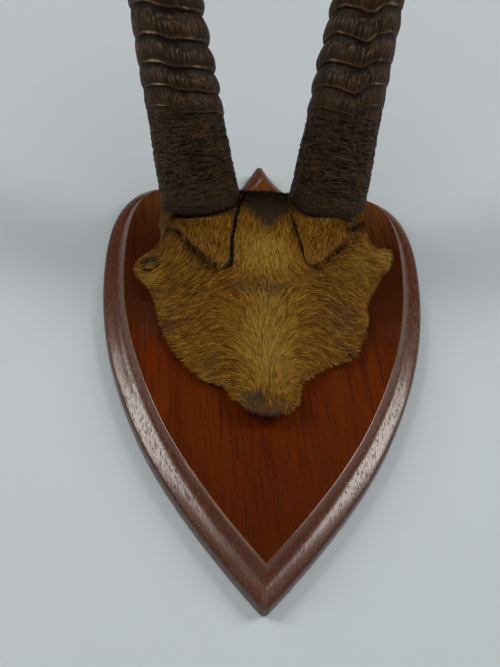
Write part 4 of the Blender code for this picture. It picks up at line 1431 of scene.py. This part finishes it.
# %% [markdown]
# The coat is tan, paler down the middle and redder and darker on the cheeks: partly its own colour,
# partly painted light on the raised middle and painted shade on the sloping cheeks. There is a black
# tuft between the horns, a grey-brown whorl on the brow and a dark fringe at the nose. Painted on the
# skin, such markings would have hard borders. So each is a soft patch, and every hair takes its
# colour from where it is rooted, as on the animal.

# %% Patches of colour in the coat
DARK_PATCHES = (                    # x, z, reach across, reach up and down, strength
    (-2, 44, 26, 8, 1.0), (-1, -117, 15, 5.0, 1.0), (-5, -113, 8, 4.5, 0.9), (-11.5, -109.5, 3.4, 2.8, 0.8),
    (-2, -41, 22, 9.0, 0.52), (-60, 5, 5, 7, 0.6), (47, -68, 7, 4, 0.6), (57, -52, 5, 8, 0.45),
    (-55, -52, 7, 9, 0.5), (44, -47, 15, 12, 0.3), (-63, 26, 6, 14, 0.6), (60, 26, 6, 12, 0.6),
    (-14, -108, 4, 4, 0.5), (-31, -83, 10, 9, 0.35), (30, -30, 9, 5, 0.2),
)
BLACK_TIP, BLACK_SLOPE, BLACK_WIDTH = (-0.5, 5.0), 1.1, 19.0    # the tuft's lowest place and its V
BLACK_BORDER, BLACK_SIDE_BORDER = (-8.0, 9.0), 6
# the cheeks' redder, darker tone is partly the coat's own and partly painted shade on the slopes
RED_PATCHES = (
    (-38, -6, 16, 12, 0.75), (34, -4, 16, 12, 1.0), (-44, -48, 20, 26, 0.9), (38, -46, 20, 24, 0.9),
    (-22, -88, 9, 9, 0.4), (27, -72, 9, 8, 0.45), (17, 12, 4, 9, 0.5), (-60, -4, 10, 12, 0.3),
)
# the two broad patches down the middle are partly the coat's own paler tone and partly painted light
PALE_PATCHES = (
    (0, -76, 12, 32, 0.8), (-2, -14, 17, 15, 0.95), (-70, -24, 8, 6, 0.6), (72, 1, 8, 8, 0.75),
    (-47, -10, 6, 2.5, 0.7), (-28, -23, 3, 4, 0.7), (60, -45, 4, 14, 0.55), (-38, -89, 12, 3, 0.6),
    (-61, -45, 4, 14, 0.45), (56, -13, 8, 5, 0.4),
)
GREEN_PATCHES = ((75.5, 3.5, 3.2, 6.5, 0.8), (-73, -9.5, 4, 3, 0.3), (68.5, 11, 5, 2.0, 0.5))
PATCH_WAVER = 3.0
COLOUR_PATCHES = {"red": RED_PATCHES, "pale": PALE_PATCHES, "green": GREEN_PATCHES}


def patchiness(x, z, patches):
    """Strength of a set of patches at arrays of places, with uneven edges."""
    x = x + PATCH_WAVER * skin_hills(x, z, 7, 28, 81)
    total = np.zeros(len(x))
    for x0, z0, across, up, strength in patches:
        reach = ((x - x0) / across) ** 2 + ((z - z0) / up) ** 2
        total = np.maximum(total, strength * np.exp(-(reach**1.5)))
    return total


def black_tuft(x, z):
    """The black V between the horns, with a soft edge."""
    tip_x, tip_z = BLACK_TIP
    side = np.abs(x - tip_x)
    inside = rise(*BLACK_BORDER, z - tip_z - BLACK_SLOPE * side)
    return inside * (1 - rise(BLACK_WIDTH, BLACK_WIDTH + BLACK_SIDE_BORDER, side))


print("patches:", len(DARK_PATCHES), "dark,", {name: len(places) for name, places in COLOUR_PATCHES.items()})

# %% [markdown]
# Hair grows everywhere on the skin but under the horns, in the seams and on the lids. Those places
# could be painted as a mask, but the functions that shaped the horns and the skin know them already,
# so two short functions ask them.

# %% Where no hair grows
HORN_CLEARANCE, FOOT_MARGIN, FOOT_SPAN = 0.6, 1.5, 60


def under_a_horn(x, height, z):
    """Whether places on the skin lie inside a horn."""
    inside = np.zeros(len(x), bool)
    here = np.stack([x, -BOARD - height, z], 1)
    for horn in HORNS.values():
        _, places, along = horn_track(horn)
        from_base = here - places[0]
        far = from_base @ along[0]
        sideways = from_base - far[:, None] * along[0]
        out = np.linalg.norm(sideways, axis=1)
        inward = np.arctan2(-horn["side"] * sideways[:, 0], -sideways[:, 1] - sideways[:, 2])
        near = out < girth(np.clip(far, 0, FOOT_SPAN)) + HORN_CLEARANCE
        inside |= near & (far > foot_cut(horn, inward) - FOOT_MARGIN)
    return inside


def bareness(x, z):
    """How bare of hair a place on the skin is."""
    notes = skin_details(x, z)[1]
    return np.maximum.reduce([notes["crack"], notes["wear_and_gleam"] * 0.8, notes["lid"], notes["pale_lid"]])


MIDDLE_OF_BROW = np.array([0.0]), np.array([0.0]), np.array([-45.0])
print("the brow's middle is under a horn:", bool(under_a_horn(*MIDDLE_OF_BROW)[0]))

# %% [markdown]
# Roots are scattered evenly over the rest. Blender can scatter points over a mesh too, but each root
# here needs the skin's height and slope, which a function gives. So places are drawn in the flat of
# the board and then kept or dropped by chance: seen from the front, a steep part of the skin looks
# narrow and needs more roots to be as thick with hair.

# %% Scatter the roots
ROOT_TRIES = 504000
TRY_BOX = ((-82, 82), (-122, 60))   # x and z
ROOTS_WITHIN = 0.996                # share of the way out to the edge
STEEPEST = 3.0                      # from this steepness on, every try is kept
SLOPE_STEP = 0.4                    # the slope is measured over this distance
BARE_CHANCE = (0.05, 0.9)           # a root is dropped where the skin is barer than a chance between these
rng = np.random.default_rng(2024)


def scatter_roots():
    """Places of the roots, with the slope of the skin there."""
    x, z = [rng.uniform(*side, ROOT_TRIES) for side in TRY_BOX]
    keep = within_edge(x, z)[0] < ROOTS_WITHIN
    x, z = x[keep], z[keep]
    height = skin_surface(x, z)
    slope_x = (skin_surface(x + SLOPE_STEP, z) - height) / SLOPE_STEP
    slope_z = (skin_surface(x, z + SLOPE_STEP) - height) / SLOPE_STEP
    steep = np.sqrt(1 + slope_x**2 + slope_z**2)
    keep = rng.uniform(0, STEEPEST, len(x)) < steep
    keep &= bareness(x, z) < rng.uniform(*BARE_CHANCE, len(x))
    keep &= ~under_a_horn(x, height, z)
    return [values[keep] for values in (x, z, height, slope_x, slope_z)]


x, z, height, slope_x, slope_z = scatter_roots()
print("roots:", len(x))

# %% [markdown]
# Hairs that lie behind one another have a like tone, which gives the coat its fine streaks. A plain
# noise would make round blots. So from every root a path is followed along the lie of the hair, both
# ways, and the random tones of the small cells that it crosses are averaged: roots on the same path
# cross the same cells.

# %% Streaks of tone along the hair
STREAK_WIDTHS = (0.26, 0.8)         # of single strands, and of the locks that they lie in
STREAK_REACH, STREAK_STEPS = 1.8, 5             # how far a path runs each way, and in how many steps
STREAK_SEEDS = (96, 97)
CELLS = 512                         # the random cells repeat after this many


def streaks(x, z):
    """Fine and broad streaks, each mostly between -1 and 1."""
    tones = [np.zeros(len(x)) for _ in STREAK_WIDTHS]
    cells = [np.random.default_rng(seed).uniform(-1, 1, (CELLS, CELLS)) for seed in STREAK_SEEDS]
    for way in (1, -1):
        place_x, place_z = x.copy(), z.copy()
        for _ in range(STREAK_STEPS):
            east, north = combed(place_x, place_z)
            place_x += way * east * STREAK_REACH / STREAK_STEPS
            place_z += way * north * STREAK_REACH / STREAK_STEPS
            for number, width in enumerate(STREAK_WIDTHS):
                column, row = [(place // width).astype(int) % CELLS for place in (place_x, place_z)]
                tones[number] += cells[number][row, column]
    return [np.clip(tone / (2 * tone.std()), -1, 1) for tone in tones]


strand, lock = streaks(x, z)
print("streaks:", round(float(np.corrcoef(strand, lock)[0, 1]), 3), "alike")

# %% [markdown]
# How a hair lies is the combing at its root, with a sway that neighbours share and a little that is
# its own. It is a chance whether a hair near the border of a dark patch is dark, so that both kinds
# mix there. A hair that would lie over a seam or a lid stays short, and at the nose some hang down
# over the edge.

# %% How every hair lies, and how dark and long it is
SWAY, UNRULY = 0.12, 0.09           # of tufts and of single hairs
FRINGE, FRINGE_WIDTH = (-108.0, -116.0), 17.0   # at the nose more and more hairs hang down over the edge
FRINGE_SPREAD, FRINGE_FALL = 0.6, -0.8
MIXED, MIXED_FROM, MIXED_TO = 0.22, 0.12, 0.88  # how sharply and where a patch's border mixes the hairs
HAIR_LENGTH, LENGTHS = 6.0, (0.65, 1.15)
EDGE_SHORTER, TUFT_LONGER, FRINGE_LENGTH, TRIMMED = 0.35, 0.35, 0.75, 0.45
BARE_FROM = 0.45


def lay(x, z, slope_x, slope_z):
    """Every hair's direction out of the skin and along it, and which hairs hang over the edge."""
    count = len(x)
    out = np.stack([-slope_x, -np.ones(count), -slope_z], 1)
    out /= np.linalg.norm(out, axis=1, keepdims=True)
    east, north = combed(x, z)
    sway = SWAY * skin_hills(x, z, 3.0, 66, 91) + rng.normal(0, UNRULY, count)
    east, north = east * np.cos(sway) - north * np.sin(sway), north * np.cos(sway) + east * np.sin(sway)
    hanging = (rng.uniform(0, 1, count) < rise(*FRINGE, z)) & (np.abs(x) < FRINGE_WIDTH)
    east = np.where(hanging, x / FRINGE_WIDTH * FRINGE_SPREAD, east)
    north = np.where(hanging, FRINGE_FALL, north)
    lie = np.stack([east, -(slope_x * east + slope_z * north), north], 1)
    lie /= np.linalg.norm(lie, axis=1, keepdims=True)
    return out, lie, (east, north), hanging


def darkness(x, z):
    """1 for a dark hair and 0 for a tan one."""
    dark = np.maximum(patchiness(x, z, DARK_PATCHES), black_tuft(x, z))
    return rise(-MIXED, MIXED, dark - rng.uniform(MIXED_FROM, MIXED_TO, len(x)))


def hair_lengths(x, z, heading, hanging):
    """Shorter hairs at the edge and beside bare places, longer ones in the black tuft."""
    east, north = heading
    reach, _ = within_edge(x, z)
    size = HAIR_LENGTH * rng.uniform(*LENGTHS, len(x)) * (1 - EDGE_SHORTER * rise(0.85, 1.0, reach))
    size = size * (1 + TUFT_LONGER * black_tuft(x, z)) * np.where(hanging, FRINGE_LENGTH, 1.0)
    for share in (0.4, 0.7, 0.95):
        covers = bareness(x + east * size * share, z + north * size * share) > BARE_FROM
        size = np.where(covers, size * TRIMMED, size)
    return size


print("the longest hair is about", round(HAIR_LENGTH * LENGTHS[1] * (1 + TUFT_LONGER), 1), "mm long")

# %% [markdown]
# A hair leaves its root at a shallow angle, bends down to the skin and tapers to a point, so five
# points are enough: two at the root, two at the bend and one at the tip. Each is turned about its
# own length by chance, so that some show their flat and some their edge and the coat glitters a
# little.

# %% The blades
HAIR_WIDTH, WIDTHS = 0.21, (0.7, 1.25)
ROOT_DEPTH = 0.3                    # below the surface of the skin
BEND_AT, WIDTH_AT_BEND = 0.55, 0.85
LIFT = (7, 20)                      # degrees between a hair's root and the skin
LIFT_OF_TONE = 5                    # pale hairs stand a little higher
LIFT_AT_TIP = 0.15
TWIST, CURVE = 0.9, 0.10
TONE_OF_STRAND, TONE_OF_LOCK, TONE_OF_ITS_OWN = 0.8, 0.12, 0.35


def grow(x, z, height, slope_x, slope_z, tone):
    """Five points and the notes of every hair."""
    count = len(x)
    out, lie, heading, hanging = lay(x, z, slope_x, slope_z)
    dark = darkness(x, z)
    size = hair_lengths(x, z, heading, hanging)
    flatter = 1 - 0.3 * rise(0.9, 1.0, within_edge(x, z)[0])
    lift = np.radians(rng.uniform(*LIFT, count) + LIFT_OF_TONE * tone) * flatter
    twist = rng.uniform(-TWIST, TWIST, count)
    across = np.cross(lie, out)
    flat = across * np.cos(twist)[:, None] + out * np.sin(twist)[:, None]
    width = HAIR_WIDTH * rng.uniform(*WIDTHS, count)[:, None] / 2
    root = np.stack([x, -BOARD - height, z], 1) - out * ROOT_DEPTH
    bend = root + (lie * np.cos(lift)[:, None] + out * np.sin(lift)[:, None]) * (size * BEND_AT)[:, None]
    curve = rng.normal(0, CURVE, count)[:, None]
    tip = lie + out * (np.sin(lift) * LIFT_AT_TIP)[:, None] + across * curve
    tip = bend + tip * (size * (1 - BEND_AT))[:, None]
    narrower = flat * width * WIDTH_AT_BEND
    points = np.stack([root - flat * width, root + flat * width, bend - narrower, bend + narrower, tip], 1)
    notes = {name: patchiness(x, z, patches) for name, patches in COLOUR_PATCHES.items()}
    return points, {"shade": tone, "dark": dark, **notes}


own_tone = rng.uniform(-TONE_OF_ITS_OWN, TONE_OF_ITS_OWN, len(x))
tone = TONE_OF_STRAND * strand + TONE_OF_LOCK * lock + own_tone
hair_points, hair_notes = grow(x, z, height, slope_x, slope_z, tone)
print("hairs reach", (-hair_points[..., 1].min() - BOARD).round(1), "mm above the board")

# %% [markdown]
# A hair is dark at its root and bright towards its tip, and no two have quite the same tone. It
# has a faint silky gloss. How far up the hair a point lies, its tone and its patches are notes on
# its five points, so one material serves all four pieces.

# %% The coat's colour
COAT = {                            # at the root and at the tip
    "tan": ((0.047, 0.0148, 0.0008), (0.282, 0.108, 0.0050)),
    "pale": ((0.13, 0.069, 0.008), (0.55, 0.330, 0.050)),
    "red": ((0.038, 0.011, 0.0007), (0.19, 0.058, 0.0025)),
    "green": ((0.075, 0.060, 0.008), (0.30, 0.24, 0.035)),
    "dark": ((0.022, 0.014, 0.009), (0.072, 0.048, 0.030)),
}
DIM_HAIR, BRIGHT_HAIR = (0.036, 0.013, 0.0015), (0.68, 0.38, 0.050)
coat, tree, shader = new_finish("short tan hair", 0.5, Specular_IOR_Level=0.08)
up_hair, shade = noted(tree, "up_hair"), noted(tree, "shade")
tones = {name: blend(tree, up_hair, root, tip) for name, (root, tip) in COAT.items()}
colour = layered(
    tree, tones["tan"],
    *((noted(tree, name), tones[name]) for name in ("pale", "red", "green")),
    (spread(tree, shade, 0.1, -0.7, 0.0, 0.85), DIM_HAIR),
    (spread(tree, shade, 0.1, 0.8, 0.0, 0.5), BRIGHT_HAIR),
    (noted(tree, "dark"), tones["dark"]),
)
feed(tree, shader, Base_Color=colour)
print("coat colours:", ", ".join(COAT))

# %% [markdown]
# A hundred thousand hairs in one mesh would be heavy to carry, so every fourth hair goes to the
# same piece. Each hair also gets a small patch of its own in a UV map, which an exporter needs to
# write its colour into a picture.

# %% The hairs as four meshes
HAIR_PIECES = 4
# the triangles of a blade, its points on the UV patch, and how far up the hair they lie
BLADE = np.array([(0, 1, 3), (0, 3, 2), (2, 3, 4)])
BLADE_PLACES = np.array([(0.2, 0.1), (0.8, 0.1), (0.25, 0.5), (0.75, 0.5), (0.5, 0.9)])
UP_HAIR = (0, 0, 0.6, 0.6, 1.0)
for piece in range(HAIR_PIECES):
    chosen = slice(piece, None, HAIR_PIECES)
    blades = hair_points[chosen]
    count = len(blades)
    faces = (np.arange(count)[:, None, None] * 5 + BLADE).reshape(-1, 3)
    mesh = mesh_from(f"hair_{piece + 1}", blades.reshape(-1, 3) * MM, faces)
    note(mesh, "up_hair", np.tile(UP_HAIR, count))
    for key, values in hair_notes.items():
        note(mesh, key, np.repeat(values[chosen], 5))
    side = int(np.ceil(np.sqrt(count)))
    cell = np.stack([np.arange(count) % side, np.arange(count) // side], 1)
    places = (cell[:, None] + BLADE_PLACES) / side
    uv = mesh.uv_layers.new(name="OFBake", do_init=False)
    uv.uv.foreach_set("vector", places.reshape(-1, 2)[faces.ravel()].astype(np.float32).ravel())
    place_piece(mesh, "fur_skin", coat)

# %% [markdown]
# ## The screws
# Two countersunk steel screws come through the board from behind. Their solids have the right
# shape already, so they aren't made again and only get a finish: dull steel with patches of
# tarnish, which are also rougher.

# %% The screws' steel
BARE, TARNISHED = (0.36, 0.34, 0.31), (0.16, 0.12, 0.09)
steel, tree, shader = new_finish("dull steel", 0.42, Metallic=1.0)
tarnish = noise(tree, place_on(tree), 700, detail=4)
colour = blend(tree, spread(tree, tarnish, 0.4, 0.65), BARE, TARNISHED)
feed(tree, shader, Base_Color=colour, Roughness=spread(tree, tarnish, 0.35, 0.65, 0.35, 0.6))
roughen(tree, shader, tarnish, 0.00005)
for name in SCREW_PLACES:
    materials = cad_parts[name].data.materials
    materials.clear()
    materials.append(steel)
print("steel on", ", ".join(SCREW_PLACES))

# %% [markdown]
# ## Wall, floor and light
# The board hangs on a plain pale wall, far above a pale floor. A plane would do for the wall, but it
# would cover the board's back. So the wall has an opening a little smaller than the board, which
# hides it from the front, and the wall is see-through from behind.

# %% Finishes of wall and floor
def painted(name, roughness, scale, dark, light):
    """A matt surface with faint clouds of this scale."""
    finish, tree, shader = new_finish(name, roughness, Specular_IOR_Level=0.1)
    clouds = noise(tree, place_on(tree), scale, detail=2)
    feed(tree, shader, Base_Color=blend(tree, clouds, dark, light))
    return finish, tree, shader


wall_finish, tree, shader = painted("pale wall", 0.9, 3.0, (0.505, 0.562, 0.604), (0.531, 0.583, 0.622))
from_behind = add(tree, "NewGeometry").outputs["Backfacing"]
see_through = add(tree, "BsdfTransparent").outputs[0]
seen = add(tree, "MixShader", {0: from_behind, 1: shader.outputs[0], 2: see_through}).outputs[0]
tree.links.new(seen, tree.nodes["Material Output"].inputs["Surface"])
floor_finish = painted("pale floor", 0.85, 2.0, (0.62, 0.67, 0.70), (0.66, 0.71, 0.73))[0]
print("finishes:", wall_finish.name, "and", floor_finish.name)

# %% [markdown]
# The wall is three loops joined into a flat ring: the opening's outline, a circle round it and the
# far edge of the room. The floor is one square.

# %% Wall and floor
WALL_GAP = 0.4                      # behind the board's back; this and the next three are millimetres
WALL_MIDDLE = (0.0, -30.0)
WALL_CIRCLE, ROOM = 400.0, 4000.0   # radii of the circle and of the far edge
OPENING_SHARE = 0.93                # the opening behind the board, as a share of its outline
FLOOR_LEVEL, FLOOR_REACH = -1.0, (4.0, 6.0)     # in metres

opening = np.concatenate([outline, outline[-2:0:-1] * (-1, 1)]) - WALL_MIDDLE
outward = opening / np.linalg.norm(opening, axis=1, keepdims=True)
rings = np.array([opening * OPENING_SHARE, outward * WALL_CIRCLE, outward * ROOM]) + WALL_MIDDLE
wall_points = np.insert(rings.reshape(-1, 2), 1, WALL_GAP, axis=1)
wall_mesh = mesh_from("wall", wall_points * MM, tube_faces(len(rings), len(opening)))
wall_mesh.shade_flat()
if wall_mesh.polygons[0].normal.y > 0:
    wall_mesh.flip_normals()
x, y = FLOOR_REACH
corners = [(-x, -y, FLOOR_LEVEL), (x, -y, FLOOR_LEVEL), (x, y, FLOOR_LEVEL), (-x, y, FLOOR_LEVEL)]
floor_mesh = mesh_from("floor", corners, np.array([(0, 1, 2, 3)]))
for mesh, finish in ((wall_mesh, wall_finish), (floor_mesh, floor_finish)):
    backdrop = bpy.data.objects.new(mesh.name, mesh)
    bpy.context.scene.collection.objects.link(backdrop)
    mesh.materials.append(finish)
    backdrop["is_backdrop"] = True
    print(mesh.name, "has", len(mesh.polygons), "faces")

# %% [markdown]
# The light is soft. Two wide lamps stand to the sides, like two windows: they draw the broad gleams
# along the lower moulding and on the lips of the rings. A single lamp in front would be simpler,
# but the polished field shows in its gloss whatever stands where it mirrors the eye, and here that
# place has to be dim. So the front lamp is low and weak, and only fills the shadows.

# %% Lamps
LAMPS = {                           # direction, distance in metres, width, height and radiance
    "front lamp": ((0.0, -1.0, -0.30), 1.5, (1.6, 0.8), 0.6),
    "right lamp": ((0.75, -0.655, 0.21), 2.0, (1.3, 0.72), 8.6),
    "left lamp": ((-0.75, -0.655, 0.22), 2.0, (1.3, 0.72), 8.2),
}
LAMP_COLOUR = (1.0, 0.965, 0.91)
for name, (direction, distance, size, radiance) in LAMPS.items():
    lamp = bpy.data.objects.new(name, bpy.data.lights.new(name, "AREA"))
    direction = Vector(direction).normalized()
    lamp.data.shape = "RECTANGLE"
    lamp.data.size, lamp.data.size_y = size
    lamp.data.energy = radiance * pi * size[0] * size[1]
    lamp.data.color = LAMP_COLOUR
    lamp.location = direction * distance
    lamp.rotation_euler = direction.to_track_quat("Z", "Y").to_euler()
    lamp.visible_camera = False
    bpy.context.scene.collection.objects.link(lamp)
    print(name, round(lamp.data.energy, 1), "W")

# %% [markdown]
# The sky is brightness that depends on the direction alone. An even sky would veil the varnish. So
# it is nearly dark in front and at the sides, and brighter behind the wall, where it lights the
# board's back. A little comes from above and from below.

# %% Sky
SKY = {"front": 0.01, "sides": 0.04, "behind": 1.1, "top": 0.2, "below": 0.3}
SKY_COLOUR = (0.93, 0.96, 0.97, 1.0)
sky = bpy.data.worlds.new("sky")
bpy.context.scene.world = sky
sky.use_nodes = True
tree = sky.node_tree
direction = add(tree, "SeparateXYZ", {0: add(tree, "TexCoord").outputs["Generated"]}).outputs
strength = spread(tree, direction["Y"], -0.35, 0.0, SKY["front"], SKY["sides"])
from_behind = spread(tree, direction["Y"], 0.0, 0.7, 0.0, SKY["behind"])
overhead = times(
    tree, spread(tree, direction["Z"], 0.6, 0.9, 0.0, SKY["top"]), spread(tree, direction["Y"], -0.1, 0.2)
)
from_below = spread(tree, direction["Z"], -0.75, -0.9, 0.0, SKY["below"])
for part in (from_behind, overhead, from_below):
    strength = combine(tree, "MAXIMUM", strength, part)
background = tree.nodes["Background"]
background.inputs["Color"].default_value = SKY_COLOUR
tree.links.new(strength, background.inputs["Strength"])
bpy.context.scene.view_settings.view_transform = "Standard"
print("sky strengths:", SKY)

# %% [markdown]
# The sizes of the solids' box and of the pieces' box are printed side by side. The pieces may
# stand only a little outside the solids' box.

# %% Print both boxes
seen_box = [list(corner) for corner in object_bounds()]
for axis, low, high, seen_low, seen_high in zip("xyz", *cad_box, *seen_box):
    print(axis, "box", round((high - low) / MM, 1), "mm, seen", round((seen_high - seen_low) / MM, 1), "mm")
